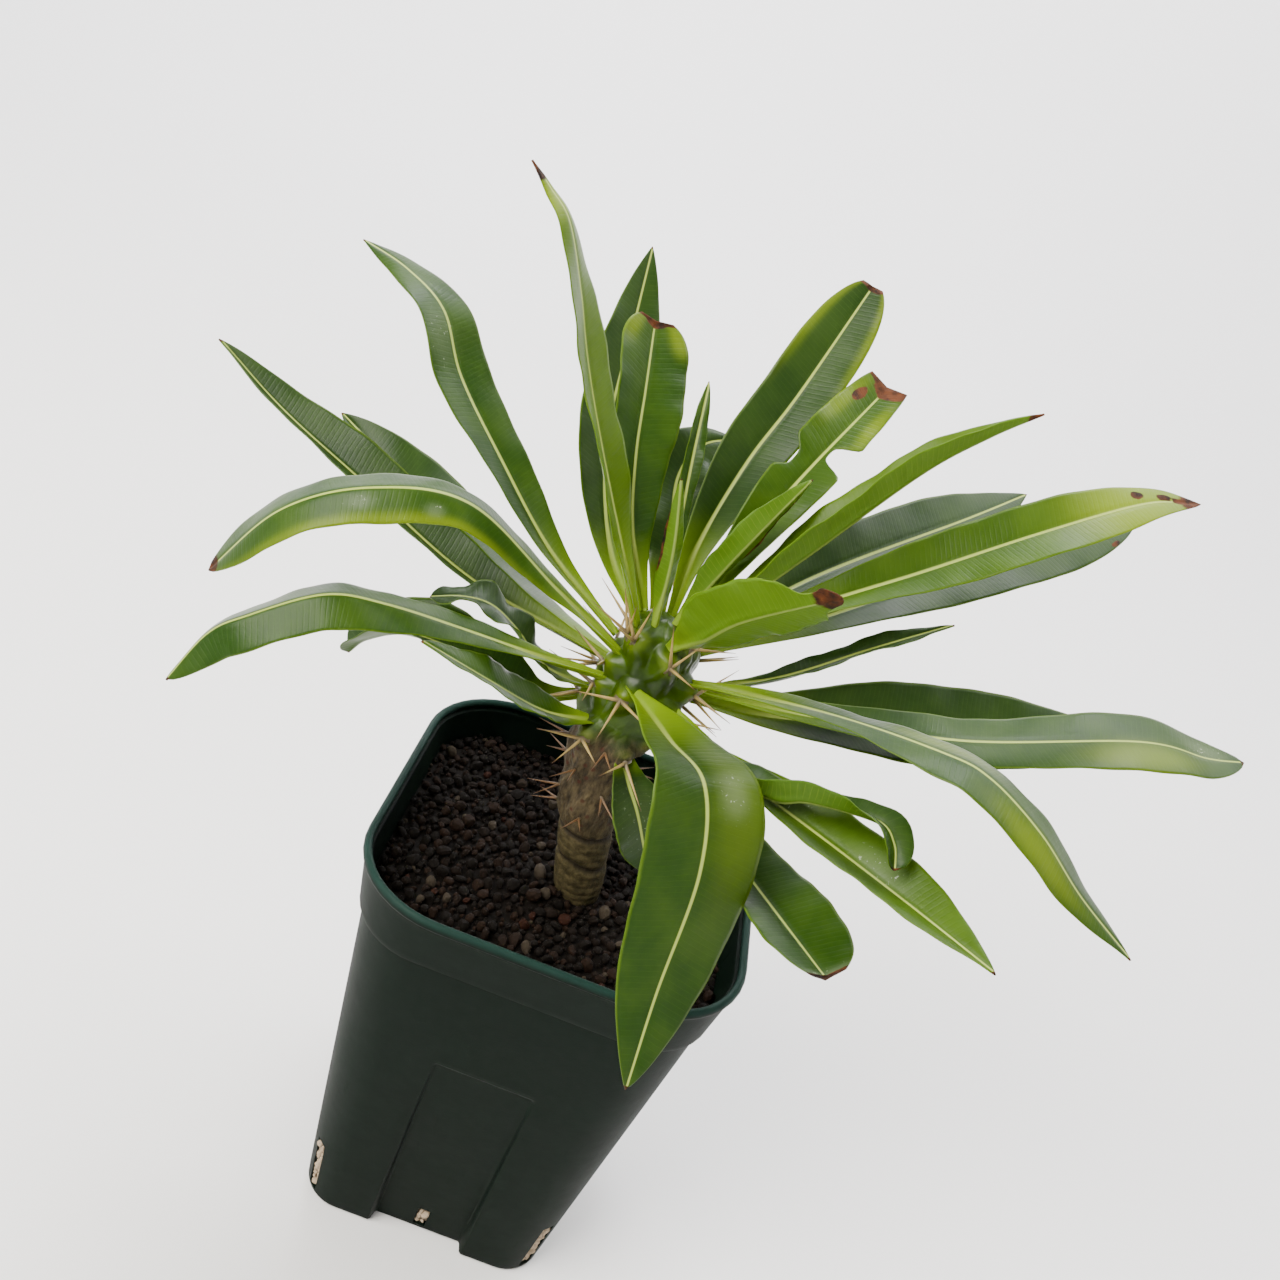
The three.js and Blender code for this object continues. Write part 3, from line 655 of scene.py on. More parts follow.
LEAVES = [
    dict(path=[[-11, -1, 191], [-52, 8, 193], [-89, 16, 204], [-114, 21, 212], [-135, 25, 222]],
         width=20, fold=(35, 38), roll=(-12,), widest=0.55, tone=0.25),
    dict(path=[[-11, 4, 189], [-30, 16, 188], [-48, 25, 190], [-80, 39, 197], [-107, 50, 205]],
         width=26, fold=(10, -8, 6, 30), roll=(0, 8, -12, -35), widest=0.55, tone=0.2),
    dict(path=[[-12, 4, 196], [-35, 13, 206], [-57, 24, 221], [-74, 31, 235], [-84, 36, 248],
               [-97, 41, 253], [-112, 48, 254]],
         width=17, fold=(35, 15, -10), roll=(-15,), widest=0.62, tone=0.5,
         marks=(("pale", 0.7, 0.45, 0.06, 0.5, 0.6),)),
    dict(path=[[-8, -6, 196], [-29, -11, 209], [-54, -18, 225], [-75, -25, 223], [-92, -30, 212],
               [-104, -33, 192]],
         width=17, fold=(30, -20, -25, 0), roll=(-10, -20, -15), widest=0.68, blunt=0.5, tone=0.6,
         marks=(("pale", 0.52, 0.6, 0.02, 0.2, 0.9), ("pale", 0.66, 0.4, 0.025, 0.2, 0.9),
                ("yellow", 0.6, 0.95, 0.35, 0.25, 0.6), ("dry", 1, 0, 0.03, 1.5, 1))),
    dict(path=[[-10, -8, 190], [-25, -14, 192], [-45, -22, 196], [-63, -31, 200], [-76, -37, 200],
               [-90, -43, 191], [-97, -45, 184], [-102, -50, 172]],
         width=17, fold=(40, 0, -30, -30), roll=(0, -5, -10, -10), widest=0.7, blunt=0.4, tone=0.6,
         marks=(("yellow", 0.9, -0.8, 0.04, 0.4, 1),)),
    dict(path=[[-11, -1, 180], [-27, -1, 172], [-45, 1, 175], [-62, 1, 175], [-72, 1, 169], [-76, 1, 163]],
         width=22, fold=(30, 35), roll=(-5,), blunt=0.8, wave=1, tone=0.35),
    dict(path=[[-11, -5, 184], [-25, -6, 185], [-36, -7, 193], [-43, -8, 197], [-50, -9, 197],
               [-58, -10, 194]],
         width=13, fold=(20, 10), wave=1.5, waves=4, blunt=0.6, tone=0.2),
    dict(path=[[-6, -9, 178], [-21, -19, 181], [-36, -31, 191], [-52, -40, 200]],
         width=17, fold=(20, 10), widest=0.5, tone=0.55),
    dict(path=[[-8, -7, 206], [-18, -8, 223], [-32, -9, 247], [-41, -8, 263], [-47, -8, 276],
               [-54, -8, 289], [-60, -8, 294], [-65, -9, 298]],
         width=17, fold=(18, 13, 17, 14, -2, -20), roll=(-12,), widest=0.45, tone=0.8, fresh=0.28,
         marks=(("dry", 1, 0, 0.045, 2, 1), ("yellow", 0.93, 0, 0.05, 2, 0.8))),
    dict(path=[[-9, 4, 202], [-22, 13, 214], [-33, 29, 235], [-38, 50, 261], [-41, 62, 278]],
         width=21, fold=(30, 10), widest=0.5, tone=0.3),
    dict(path=[[-8, 2, 206], [-18, 7, 223], [-24, 13, 239], [-28, 23, 253], [-32, 34, 266]],
         width=21, fold=(35, 12), widest=0.78, blunt=0.8, cut=0.985, notch=1, tone=0.6,
         marks=(("dry", 1, 0, 0.02, 0.6, 1), ("yellow", 0.96, -0.8, 0.06, 0.3, 0.6),
                ("yellow", 0.96, 0.8, 0.06, 0.3, 0.6))),
    dict(path=[[-3, 0, 208], [-10, 10, 240], [-14, 22, 261]],
         width=5, fold=(30, 15), widest=0.7, heading=110, tone=0.5),
    dict(path=[[-4, -6, 206], [-7, -7, 227], [-12, -8, 246]],
         width=6.5, fold=(45, 30), widest=0.4, heading=-70, tone=0.8, fresh=0.5,
         marks=(("dry", 0.6, -0.95, 0.25, 0.2, 0.8),)),
    dict(path=[[-5, 8, 204], [-8, 20, 219], [-12, 33, 231], [-9, 41, 239], [-1, 45, 243]],
         width=18, fold=(20, 10), wave=2, heading=80, tone=0.2),
    dict(path=[[-1, 2, 207], [-1, 15, 223], [3, 30, 243], [9, 42, 261], [17, 62, 290]],
         width=19.5, fold=(35, 8), roll=(6,), widest=0.58, blunt=0.75, cut=0.985, tone=0.25,
         marks=(("dry", 1, -0.2, 0.015, 0.8, 1), ("yellow", 0.9, -0.95, 0.2, 0.2, 0.5),
                ("yellow", 0.9, 0.95, 0.2, 0.2, 0.5))),
    dict(path=[[2, -1, 206], [7, 4, 224], [15, 17, 246], [29, 43, 270]],
         width=17, fold=(35, 8), roll=(12,), widest=0.65, blunt=0.9, cut=0.95, notch=2.5,
         tone=0.6, fresh=0.06,
         bites=((-1, 0.7, 0.05, 0.85), (-1, 0.88, 0.14, 0.2), (1, 0.62, 0.05, 0.4)),
         marks=(("dry", 1, -0.3, 0.035, 0.9, 1), ("dry", 0.93, 0.55, 0.03, 0.2, 1),
                ("yellow", 0.88, 0.8, 0.1, 0.3, 0.5), ("yellow", 0.85, -0.8, 0.1, 0.3, 0.6))),
    dict(path=[[0, -4, 208], [6, -2, 227], [12, 2, 242], [17, 6, 253]],
         width=10, fold=(35, 25), widest=0.5, heading=-60, tone=0.6, fresh=0.08,
         marks=(("dry", 0.7, 0.9, 0.3, 0.2, 0.7),)),
    dict(path=[[5, -3, 207], [24, 7, 235], [41, 14, 262], [53, 20, 275], [63, 24, 284]],
         width=15, fold=(50, 50), roll=(-25,), widest=0.45, tone=0.9, fresh=0.25,
         marks=(("dry", 1, 0, 0.045, 2, 1),)),
    dict(path=[[8, 1, 203], [34, 11, 223], [54, 19, 237], [79, 28, 256], [102, 39, 270], [117, 45, 274]],
         width=18, fold=(35, 0), roll=(22,), blunt=0.2, tone=0.75, fresh=0.1,
         marks=(("yellow", 0.88, 0, 0.14, 2, 0.9), ("dry", 0.87, 0.5, 0.012, 0.25, 1),
                ("dry", 0.92, 0.3, 0.015, 0.25, 1), ("dry", 0.95, 0, 0.015, 0.3, 1),
                ("dry", 1, 0, 0.05, 2, 1))),
    dict(path=[[9, 3, 200], [31, 17, 211], [60, 37, 227], [92, 60, 243], [118, 78, 254]],
         width=21, fold=(30, 0), roll=(25,), widest=0.65, blunt=0.3, tone=0.35,
         marks=(("dry", 0.93, -0.8, 0.012, 0.15, 1),)),
    dict(path=[[7, 7, 200], [34, 40, 217], [73, 77, 237], [91, 96, 246]],
         width=22, fold=(30, 0), roll=(20,), tone=0.25),
    dict(path=[[1, -9, 204], [7, -16, 214], [13, -23, 226], [28, -35, 245]],
         width=23, fold=(20, 5), roll=(-20,), widest=0.48, blunt=0.4, heading=-60, tone=1, fresh=0.6,
         bites=((1, 0.9, 0.06, 0.4), (-1, 0.88, 0.06, 0.5)),
         marks=(("dry", 1, 0, 0.12, 2, 1),)),
    dict(path=[[11, 2, 190], [32, 11, 198], [52, 19, 212], [70, 25, 225]],
         width=7.5, fold=(40, 20), widest=0.65, wave=0.6, tone=0.15),
    dict(path=[[12, 1, 188], [31, 7, 188], [54, 14, 191], [83, 23, 196], [110, 31, 202], [131, 38, 209]],
         width=27, fold=(30, 5), roll=(25,), widest=0.55, tone=0.25),
    dict(path=[[11, -1, 192], [41, 3, 195], [82, 9, 202], [125, 15, 218], [144, 17, 220], [154, 19, 222]],
         width=21, fold=(40, 0, 0), roll=(25, 8, 10), widest=0.75, blunt=0.4, tone=0.4,
         marks=(("yellow", 0.8, -0.5, 0.1, 0.5, 0.5), ("pale", 0.93, 0.3, 0.04, 0.5, 0.8))),
    dict(path=[[9, -6, 196], [41, -18, 209], [66, -28, 216], [77, -33, 217], [91, -39, 212],
               [105, -43, 203], [121, -47, 195]],
         width=17, fold=(40, -5, -15, -5), roll=(20, -5, 10, 10), widest=0.62, tone=0.45,
         marks=(("yellow", 0.75, -0.5, 0.12, 0.5, 0.5), ("yellow", 0.5, 0.6, 0.1, 0.4, 0.4))),
    dict(path=[[8, -10, 184], [36, -28, 187], [64, -45, 188], [87, -66, 192]],
         width=19, fold=(30, 25), roll=(12,), tone=0.8, fresh=0.12,
         marks=(("pale", 0.66, 0.3, 0.08, 0.4, 0.8), ("pale", 0.38, 0.3, 0.06, 0.4, 0.7))),
    dict(path=[[7, -9, 190], [20, -23, 189], [35, -33, 191], [43, -36, 196], [57, -40, 200],
               [62, -43, 198], [64, -47, 194]],
         width=14, fold=(20, 5, 40, 40, 30), roll=(10, 10, -30, -20, 40), widest=0.5, blunt=0.9, wave=1,
         tone=0.35, bites=((1, 0.72, 0.14, 0.5), (-1, 0.72, 0.14, 0.4))),
    dict(path=[[6, -10, 180], [24, -21, 171], [39, -32, 167], [58, -62, 171]],
         width=24, fold=(25, 22), roll=(5,), widest=0.78, blunt=0.6, cut=0.98, tone=0.5,
         marks=(("pale", 1, 0, 0.02, 2, 1),)),
    dict(path=[[-4, -13, 192], [8, -31, 194], [18, -43, 194], [24, -54, 179], [25, -67, 154],
               [26, -80, 137]],
         width=29, fold=(35, 4, -6, 5), widest=0.45, blunt=0.2, tone=0.45,
         marks=(("yellow", 0.4, 0.6, 0.2, 0.5, 0.2), ("pale", 0.38, 0.5, 0.04, 0.25, 0.9))),
    dict(path=[[-1, -11, 176], [4, -17, 170], [10, -22, 164], [18, -25, 151]],
         width=16, fold=(20, 0), roll=(15,), tone=0.2,
         marks=(("pale", 0.6, 0, 0.3, 1, 0.35),)),
]
PLAIN_LEAF = dict(fold=(30, 10), roll=(0,), widest=0.6, blunt=0.1, cut=1, notch=0, wave=0.5, waves=3,
                  heading=None, bites=(), tone=0.5, fresh=0, marks=())
LEAF_ROWS = 90
LEAF_HALF_COLUMNS = 10
PATH_STEPS = 400
PETIOLE = 0.14
TIP = (0.985, 1)
EDGE_THICKNESS = 0.1
BLADE_THICKNESS = 0.17
RIB_WIDTH = 1.1
RIB_HEIGHT = 0.75
GROOVE_WIDTH = 0.6
GROOVE_DEPTH = 0.22


def evenly(values, t):
    """The value at t, from 0 to 1, of a list that is spread evenly along the leaf."""
    if len(values) == 1:
        return np.full_like(t, values[0])
    return np.interp(t, np.linspace(0, 1, len(values)), values)


def half_share(t, leaf):
    """Half width as a share of the widest: a sine rise from the narrow petiole, then a fall to the tip."""
    rise = PETIOLE + (1 - PETIOLE) * np.sin(np.clip(t / leaf["widest"], 0, 1) * np.pi / 2) ** 1.4
    past = np.clip((t - leaf["widest"]) / (1 - leaf["widest"]), 0, 1)
    fall = (1 - past ** (1.8 + 3 * leaf["blunt"])) ** (1 - 0.55 * leaf["blunt"])
    return np.where(t < leaf["widest"], rise, fall)


def leaf_surface(leaf, number):
    """A folded blade: at t along the midrib and v across, the point is the midrib's, plus v times the half
    width laid out at the fold's angle, plus the margin's wave. Each face is offset by half the thickness,
    and the lower one swells under the midrib. Returns rings of points, each point's place across, along and
    above, the half width there and the midrib's length."""
    t = np.linspace(0, 1, LEAF_ROWS) ** 0.97
    path, length = spline(leaf["path"], PATH_STEPS + 1)
    steps = np.arange(PATH_STEPS + 1)
    middle = np.stack([np.interp(t * PATH_STEPS, steps, path[:, axis]) for axis in range(3)], 1)
    tangent = np.gradient(middle, axis=0)
    tangent /= np.linalg.norm(tangent, axis=1)[:, None]
    lean = middle[-1] - middle[0]
    heading = np.arctan2(lean[1], lean[0]) if leaf["heading"] is None else np.radians(leaf["heading"])
    side = np.array([-np.sin(heading), np.cos(heading), 0])
    side = side - (tangent @ side)[:, None] * tangent
    side /= np.linalg.norm(side, axis=1)[:, None]
    up = np.cross(tangent, side)
    roll = np.radians(evenly(leaf["roll"], t))[:, None]
    side, up = side * np.cos(roll) + up * np.sin(roll), up * np.cos(roll) - side * np.sin(roll)

    columns = np.linspace(-1, 1, 2 * LEAF_HALF_COLUMNS + 1)
    columns = np.sign(columns) * np.abs(columns) ** 0.85
    v, along = np.meshgrid(columns, t)
    across = np.abs(v)
    share = half_share(along * leaf["cut"], leaf)
    half = leaf["width"] / 2 * share
    for bite_side, place, reach, depth in leaf["bites"]:
        eaten = depth * np.exp(-(((along - place) / reach) ** 4))
        half = half * np.where(np.sign(v) == bite_side, 1 - eaten, 1)
    fold = np.radians(evenly(leaf["fold"], along))
    sideways = np.where(v < 0, 1.7, 0)
    ripple = leaf["wave"] * np.sin(TURN * leaf["waves"] * along + sideways)
    ripple = ripple + 0.15 * np.sin(TURN * leaf["waves"] * 3.3 * along + 2.1 * sideways + number)
    lifted = across * half * np.sin(fold) + ripple * share * across**2
    spread = v * half * np.cos(fold)
    middle, side, up = middle[:, None], side[:, None], up[:, None]
    sheet = middle + spread[..., None] * side + lifted[..., None] * up
    sheet = sheet + (leaf["notch"] * across * along**12)[..., None] * tangent[:, None]
    normal = up * np.cos(fold * across)[..., None] - side * (np.sin(fold) * v)[..., None]
    normal /= np.linalg.norm(normal, axis=2)[..., None]

    edge = 1 - across**4
    thick = EDGE_THICKNESS + BLADE_THICKNESS * edge
    rib = RIB_HEIGHT * np.exp(-((v * half / RIB_WIDTH) ** 2)) * (1.1 - 0.8 * along)
    groove = GROOVE_DEPTH * np.exp(-((v * half / GROOVE_WIDTH) ** 2))
    upper = sheet + normal * (thick - groove)[..., None]
    lower = sheet - normal * (thick + rib)[..., None]
    pairs = ((lower, upper), (v, v), (along, along), (np.zeros_like(v), np.ones_like(v)), (half, half))
    return *(np.concatenate([under, over[:, ::-1]], axis=1) for under, over in pairs), length


def spot(along, across, mark):
    """How strongly a mark covers a place: 1 at its middle, falling off over its length and breadth."""
    _, at, off, long, wide, strength = mark
    away = ((along - at) / long) ** 2 + ((across - off) / wide) ** 2
    return strength * np.exp(-(away**1.5))


def make_leaves(material):
    """One closed blade for each leaf, with its marks as values from 0 to 1 on its points."""
    for number, entry in enumerate(LEAVES, 1):
        leaf = {**PLAIN_LEAF, **entry}
        rings, across, along, above, widths, length = leaf_surface(leaf, number)
        points, faces = closed_tube(rings, rings[0].mean(0), rings[-1].mean(0))
        painted = {kind: np.zeros_like(across) for kind in ("dry", "pale", "yellow")}
        for mark in leaf["marks"]:
            painted[mark[0]] = np.maximum(painted[mark[0]], spot(along, across, mark))
        painted["dry"] = np.maximum(painted["dry"], smooth(*TIP, along))
        whole = {key: np.full_like(across, leaf[key]) for key in ("tone", "fresh")}
        values = dict(across=across, along=along, above=above, width=widths * across, run=along * length,
                      **painted, **whole)
        values = {key: np.concatenate([value.ravel(), [value[0].mean(), value[-1].mean()]])
                  for key, value in values.items()}
        name = f"leaf_{number:02}"
        stand(name + "_blade", points, faces, [name], "leaf", material, **values)


def leaf_material():
    """A waxy leaf: green with a cream midrib, slanting veins, yellow-green margins and petiole, a paler
    underside, and the leaf's own dry, pale and yellow places."""
    paint = Paint("leaf_skin", specular=0.14)
    across, along, above = (paint.value(key) for key in ("across", "along", "above"))
    width, run = paint.value("width"), paint.value("run")
    dry, pale, yellow = (paint.value(key) for key in ("dry", "pale", "yellow"))
    tone, fresh = paint.value("tone"), paint.value("fresh")
    at = paint.place()
    cloud = paint.noise(at, 0.07, 4)
    off = width.size()
    wander = paint.noise(at, 0.08, 2) * 1.2
    vein_spacing = 2.7
    vein = ((run - off * 0.25 + wander) * (TURN / vein_spacing)).wave().size()
    vein_line = (1 - vein.step(0, 0.3)) * off.step(0.5, 1.6) * (1 - across.size().step(0.8, 0.98))
    net = 1 - paint.cells(paint.join(run, width), 1.4, "DISTANCE_TO_EDGE").step(0, 0.12)
    rim = across.size().step(0.93, 1)
    base = 1 - along.step(0.03, 0.3)
    rib = 1 - (off / (0.75 - along * 0.42 + base * 0.8)).step(0.4, 1.1)
    deep = paint.blend((0.009, 0.023, 0.004), (0.014, 0.046, 0.0005), tone)
    light = paint.blend((0.018, 0.04, 0.006), (0.052, 0.105, 0.0005), tone)
    green = paint.coat(deep, (light, cloud.step(0.3, 0.72) * 0.5), ((0.15, 0.25, 0.0003), fresh),
                       ((0.05, 0.1, 0.01), vein_line * 0.16 + net * 0.03),
                       ((0.1, 0.17, 0.003), rim * 0.45), ((0.2, 0.27, 0.0003), yellow * 0.7),
                       ((0.14, 0.23, 0.0003), base * 0.9), ((0.33, 0.4, 0.08), rib * (0.9 - base * 0.8)))
    under = paint.coat((0.024, 0.06, 0.003), ((0.07, 0.145, 0.0015), tone),
                       ((0.16, 0.24, 0.02), vein_line * 0.25), ((0.28, 0.35, 0.08), rib * 0.6),
                       ((0.15, 0.24, 0.002), base * 0.7))

    flecks = paint.noise(at, 0.9, 4, 0.7).step(0.6, 0.7) * pale
    scorch = paint.noise(at, 0.35, 4).step(0.3, 0.7)
    brown = paint.blend((0.006, 0.003, 0.0015), (0.09, 0.026, 0.006), scorch)
    edge_of_dry = (dry + paint.noise(at, 0.5, 4) * 0.35).step(0.5, 0.68)
    skin = paint.coat(under, (green, above), ((0.42, 0.48, 0.34), flecks.most(pale * 0.12)),
                      (brown, edge_of_dry))
    roughness = 0.26 + (1 - above) * 0.12 + cloud * 0.16 + edge_of_dry * 0.3
    relief = (1 - vein.step(0, 0.7)) * -0.12 + cloud * 0.6 + paint.noise(at, 0.5, 3) * 0.4
    return paint.finish(skin, roughness, relief, depth=0.3, strength=0.5)


# Stem. STEM: height, x and y of the centre, and radius. Reaches are aside, up and down the stem.
# RING_FOLDS: height, depth and breadth.

STEM = np.array([
    [98, 5, -6.5, 3], [112, 5, -6.5, 5.5], [122, 4.6, -6.5, 6.6], [128, 3.5, -7, 7.2], [136, 1.8, -7.5, 7.4],
    [146, -0.3, -8, 7.7], [157, -3, -8, 8], [168, -5, -7, 8.2], [178, -4, -5.5, 8.2], [185, -2, -4.5, 8.6],
    [191, -0.5, -3.5, 9], [197, -0.5, -3, 8.6], [202, -1, -3, 7], [206, -1.5, -3, 4.8], [209, -2, -3, 1.5],
])
STEM_BASE, STEM_TIP = STEM[0, 0], STEM[-1, 0]
RING_FOLDS = ((146, 0.9, 1.1), (136, 0.75, 1))
CUSHION = 4.2
CUSHION_REACH = (3.2, 2.6, 6.5)
NUB = 1.1
NUB_REACH = (2.6, 2.6, 2.6)
TRUNK_NUBS = 18
TRUNK_NUB_TOP = 177
TRUNK_NUB_STEP = 1.6


def stem_at(z):
    """The centre, x and y, and the radius of the stem's axis at a height."""
    return [np.interp(z, STEM[:, 0], STEM[:, k]) for k in (1, 2, 3)]


def find_bumps():
    """Each bump's compass angle and height, its reach aside, up and down the stem and how far it stands out:
    a cushion under every leaf, then the trunk's worn nubs."""
    bumps = []
    for leaf in LEAVES:
        x, y, z = leaf["path"][0]
        cx, cy, _ = stem_at(z)
        bumps.append((np.arctan2(y - cy, x - cx), z - 1, *CUSHION_REACH, CUSHION))
    for k in range(TRUNK_NUBS):
        bumps.append((np.radians(k * GOLDEN_ANGLE), TRUNK_NUB_TOP - k * TRUNK_NUB_STEP, *NUB_REACH, NUB))
    return bumps


BUMPS = find_bumps()


def stem_radius(angle, z):
    """The stem's own radius at a height, plus the tallest of the bell-shaped bumps there."""
    radius = stem_at(z)[2]
    out = 0
    for bump_angle, bump_z, wide, up, down, reach in BUMPS:
        turn = np.arctan2(np.sin(angle - bump_angle), np.cos(angle - bump_angle))
        aside = turn * np.maximum(radius, 4) / wide
        along = (z - bump_z) / np.where(z > bump_z, up, down)
        out = np.maximum(out, reach * np.exp(-aside * aside - along * along))
    return radius + out, out


def stem_point(angle, z):
    """A point on the stem's skin."""
    x, y, _ = stem_at(z)
    radius, _ = stem_radius(angle, z)
    return np.array([x + radius * np.cos(angle), y + radius * np.sin(angle), z])


def make_stem(material):
    """A tube round the stem's axis whose radius carries the bumps, two ring folds and fine scars low down,
    cracked bark above them and soft lumps on the crown."""
    rings, sides = 300, 180
    z = STEM_BASE + (STEM_TIP - STEM_BASE) * np.linspace(0, 1, rings)
    angle = np.arange(sides) / sides * TURN
    angles, heights = np.meshgrid(angle, z)
    radius, bump = stem_radius(angles, heights)
    x, y, _ = stem_at(heights)
    round_at = np.stack([np.cos(angles) * 8, np.sin(angles) * 8, heights], -1)
    bark = smooth(146, 154, heights) * smooth(186, 176, heights)
    low = smooth(150, 142, heights)
    rough = lumps(round_at * [1, 1, 0.45], 3.2, 41) * 0.35 + lumps(round_at, 1.4, 42) * 0.16
    scars = np.sin(heights * 1.15 + 0.8 * lumps(round_at, 14, 43)) ** 8 * 0.22
    sway = 0.9 * lumps(round_at, 16, 46)
    folds = 0
    for fold_at, deep, wide in RING_FOLDS:
        folds = folds + deep * np.exp(-(((heights - fold_at + sway) / wide) ** 2))
    green = smooth(176, 190, heights)
    radius = radius + bark * rough + low * (0.12 * lumps(round_at, 5, 44) - scars) - folds
    radius = radius + green * 0.28 * lumps(round_at, 4.5, 45)
    points = np.stack([x + radius * np.cos(angles), y + radius * np.sin(angles), heights], -1)
    points, faces = closed_tube(points, points[0].mean(0), points[-1].mean(0) + [0, 0, 0.4])
    bump = np.append(bump / CUSHION, [0, 0])
    # The ring folds' depth, carried so that the colour can darken them with painted shade.
    stand("stem_body", points, faces, ["stem"], "stem", material, bump=bump, crease=np.append(folds, [0, 0]))


def stem_material():
    """Olive-brown foot with painted shade darkening its ring folds, grey-brown bark with red pits, then a
    glossy green crown.
    """
    paint = Paint("stem_skin", specular=0.2)
    at = paint.place()
    height = paint.split(at, 2) + (paint.noise(at, 0.12, 3) - 0.5) * 10
    bump = paint.value("bump")
    grain = paint.noise(at, 0.45, 5, 0.7)
    streak = paint.noise(paint.place(stretch=(1, 1, 0.3)), 0.6, 5, 0.7)
    foot = paint.blend((0.022, 0.018, 0.006), (0.075, 0.059, 0.025), grain.step(0.3, 0.7))
    pits = 1 - paint.cells(at, 0.34).step(0.12, 0.3)
    bark = paint.coat((0.014, 0.01, 0.005), ((0.09, 0.067, 0.033), streak.step(0.3, 0.72)),
                      ((0.045, 0.012, 0.006), pits * 0.8))
    cloud = paint.noise(at, 0.15, 3).step(0.3, 0.7)
    crown = paint.coat((0.009, 0.022, 0.0003), ((0.03, 0.062, 0.0003), cloud),
                       ((0.08, 0.125, 0.0004), bump.step(0.5, 1) * 0.75))
    # Painted shade: the ring folds are darkened by their depth.
    crease = paint.value("crease").step(0.15, 0.8)
    colour = paint.coat(foot, (bark, height.step(142, 154)), (crown, height.step(172, 182)),
                        ((0.012, 0.008, 0.004), crease * 0.85))
    roughness = 0.75 - height.step(174, 184) * 0.45
    relief = (grain * 0.6 + streak * 0.6) * (1.15 - height.step(172, 182))
    return paint.finish(colour, roughness, relief, depth=0.8)


# Spines: numbers 1 to 3 belong to the first leaf, 4 to 6 to the second, and so on, one to each side of the
# leaf's base and one below it. Near the stem's tip they point more upwards. Those that would run into a leaf
# aren't grown. Two short ones stand on each worn nub of the trunk. SPINE_WAYS: turn aside and pitch.

SPINE_RADIUS = 0.6
SPINE_LENGTH = 10
LENGTH_SPREAD = 5
SPINE_WAYS = ((-54, 0), (54, 4), (4, -30))
TURN_SPREAD = 18
PITCH_SPREAD = 22
SPINE_LIFT = 62
LIFT_FROM = 190
LIFT_OVER = 14
NOT_GROWN = (6, 9, 12, 15, 16, 17, 18, 28, 29, 31, 32, 33, 34, 36, 40, 41, 46, 47, 48, 55, 56, 57, 59, 61,
             67, 68, 69, 74, 75, 81, 84, 85, 92)
TRUNK_SPINE_RADIUS = 0.42
TRUNK_SPINE_LENGTH = 5
TRUNK_LENGTH_SPREAD = 4
TRUNK_SPINE_TURN = 18
TRUNK_PITCH_SPREAD = 30
TRUNK_NOT_GROWN = 10
SPINE_ROOT = 2
SPINE_TIP = 0.05


def spine_way(angle, turn, pitch):
    """The direction of a spine, from its turn off the stem's outward direction and its pitch, in degrees."""
    heading = angle + np.radians(turn)
    level = np.cos(np.radians(pitch))
    return np.array([np.cos(heading) * level, np.sin(heading) * level, np.sin(np.radians(pitch))])


def list_spines():
    """Each spine's root, direction, length, radius, random number and whether it is on the old trunk."""
    spines = []
    for number in range(1, 3 * len(LEAVES) + 1):
        if number in NOT_GROWN:
            continue
        angle, z = BUMPS[(number - 1) // 3][:2]
        turn, pitch = SPINE_WAYS[(number - 1) % 3]
        turn += TURN_SPREAD * (draw(number) - 0.5)
        lift = np.clip((z - LIFT_FROM) / LIFT_OVER, 0, 1) * SPINE_LIFT
        way = spine_way(angle, turn, pitch + (lift + PITCH_SPREAD * (draw(number + 200) - 0.5)))
        length = SPINE_LENGTH + LENGTH_SPREAD * draw(number + 400)
        spines.append((stem_point(angle, z - 1), way, length, SPINE_RADIUS, draw(number + 70), 0))
    for number in range(2 * TRUNK_NUBS):
        if number == TRUNK_NOT_GROWN:
            continue
        angle, z = BUMPS[len(LEAVES) + number // 2][:2]
        pitch = TRUNK_PITCH_SPREAD * (draw(number + 600) - 0.5)
        way = spine_way(angle, TRUNK_SPINE_TURN if number % 2 else -TRUNK_SPINE_TURN, pitch)
        length = TRUNK_SPINE_LENGTH + TRUNK_LENGTH_SPREAD * draw(number + 650)
        spines.append((stem_point(angle, z), way, length, TRUNK_SPINE_RADIUS, draw(number + 90), 1))
    return spines


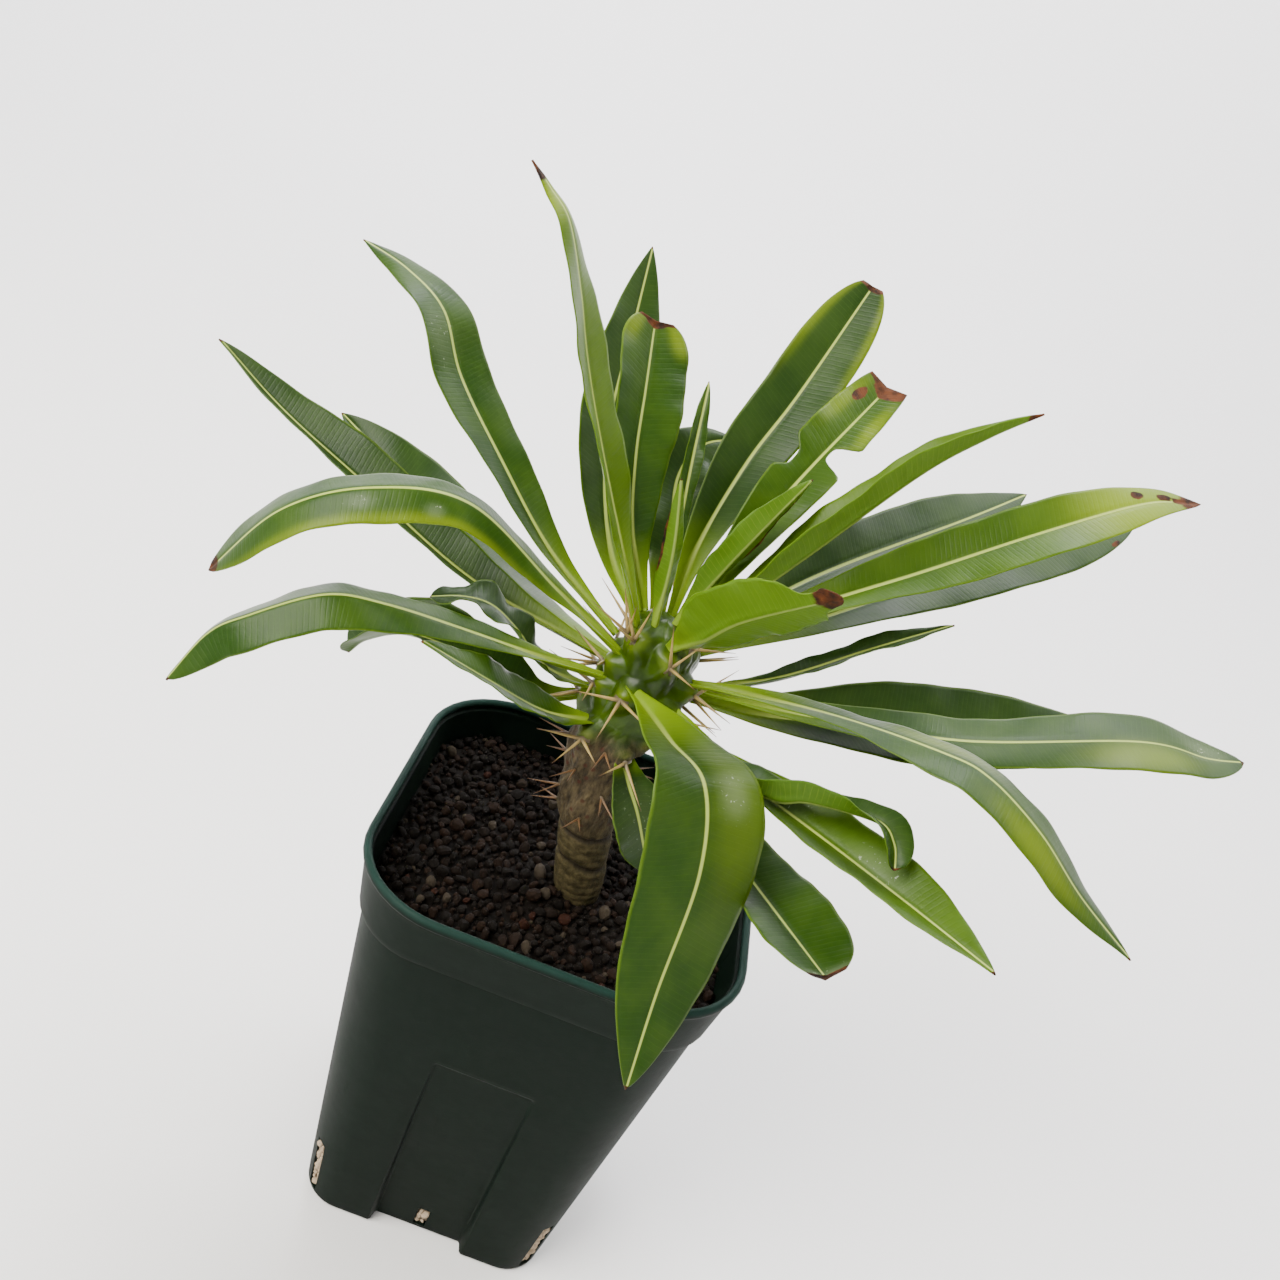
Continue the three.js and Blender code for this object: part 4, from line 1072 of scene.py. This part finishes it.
def make_spines(material):
    """Slim cones of six sides, each bent a little upwards, fused into one mesh."""
    steps, sides = 9, 6
    share = np.linspace(0, 1, steps)
    points, faces, tips, ages = [], [], [], []
    for root, way, length, radius, chance, old in list_spines():
        across = np.cross(way, (0, 0, 1))
        across /= np.linalg.norm(across)
        rise = np.cross(across, way)
        run = (length + SPINE_ROOT) * share - SPINE_ROOT
        bend = 0.06 * length * (chance - 0.3) * share**2
        middle = root + run[:, None] * way + bend[:, None] * rise
        thick = radius * (1 - share) ** 1.1 + SPINE_TIP
        angle = np.arange(sides) / sides * TURN
        ring = np.cos(angle)[:, None] * across + np.sin(angle)[:, None] * rise
        start = len(points) * steps * sides
        points.append((middle[:, None] + thick[:, None, None] * ring).reshape(-1, 3))
        tips.append(np.repeat(share, sides))
        ages.append(np.full(steps * sides, old))
        faces.append(tube_faces(steps, sides, start)[:, ::-1])
        faces.append(start + np.arange(sides)[None])
        faces.append(start + (steps - 1) * sides + np.arange(sides)[None, ::-1])
    values = dict(tip=np.concatenate(tips), old=np.concatenate(ages))
    stand("spines", np.concatenate(points), faces, ["stem"], "stem", material, **values)


def spine_material():
    """Straw-coloured thorns, reddish on the trunk, grey-brown at the root and dark brown at the tip."""
    paint = Paint("thorn", specular=0.45)
    tip = paint.value("tip")
    grain = paint.noise(paint.place(), 0.8, 4)
    straw = paint.coat((0.22, 0.14, 0.035), ((0.4, 0.29, 0.1), grain),
                       ((0.11, 0.04, 0.02), paint.value("old") * 0.8))
    colour = paint.coat((0.1, 0.075, 0.045), (straw, tip.step(0.12, 0.4)),
                        ((0.09, 0.04, 0.012), tip.step(0.7, 0.97)))
    return paint.finish(colour, 0.45, grain, depth=0.2, strength=0.5)


# Floor

def make_floor():
    """A pale round studio bowl, in metres: a profile turned about Z, level out to a bend up into a wall."""
    paint = Paint("plain_floor", specular=0.2)
    paint.feed(paint.shader, {"Base Color": (0.86, 0.85, 0.85, 1), "Roughness": 0.85})
    sides, level, bend, top = 96, 1.6, 1.2, 3.5
    turn = np.radians(np.linspace(0, 90, 16))
    reach = np.r_[0.7, 1.2, level + bend * np.sin(turn), level + bend]
    height = np.r_[0, 0, bend - bend * np.cos(turn), top]
    angle = np.arange(sides) / sides * TURN
    points = [(r * np.cos(a), r * np.sin(a), z) for r, z in zip(reach, height) for a in angle] + [(0, 0, 0)]
    faces = [tube_faces(len(reach), sides)[:, ::-1], fan_faces(np.arange(sides), len(points) - 1, True)]
    smooth_object("floor", points, faces, paint.material)


place_camera()
light_scene()
make_floor()
make_pot(pot_material())
make_soil(soil_material())
make_grit(grit_material())
make_stem(stem_material())
make_spines(spine_material())
make_leaves(leaf_material())
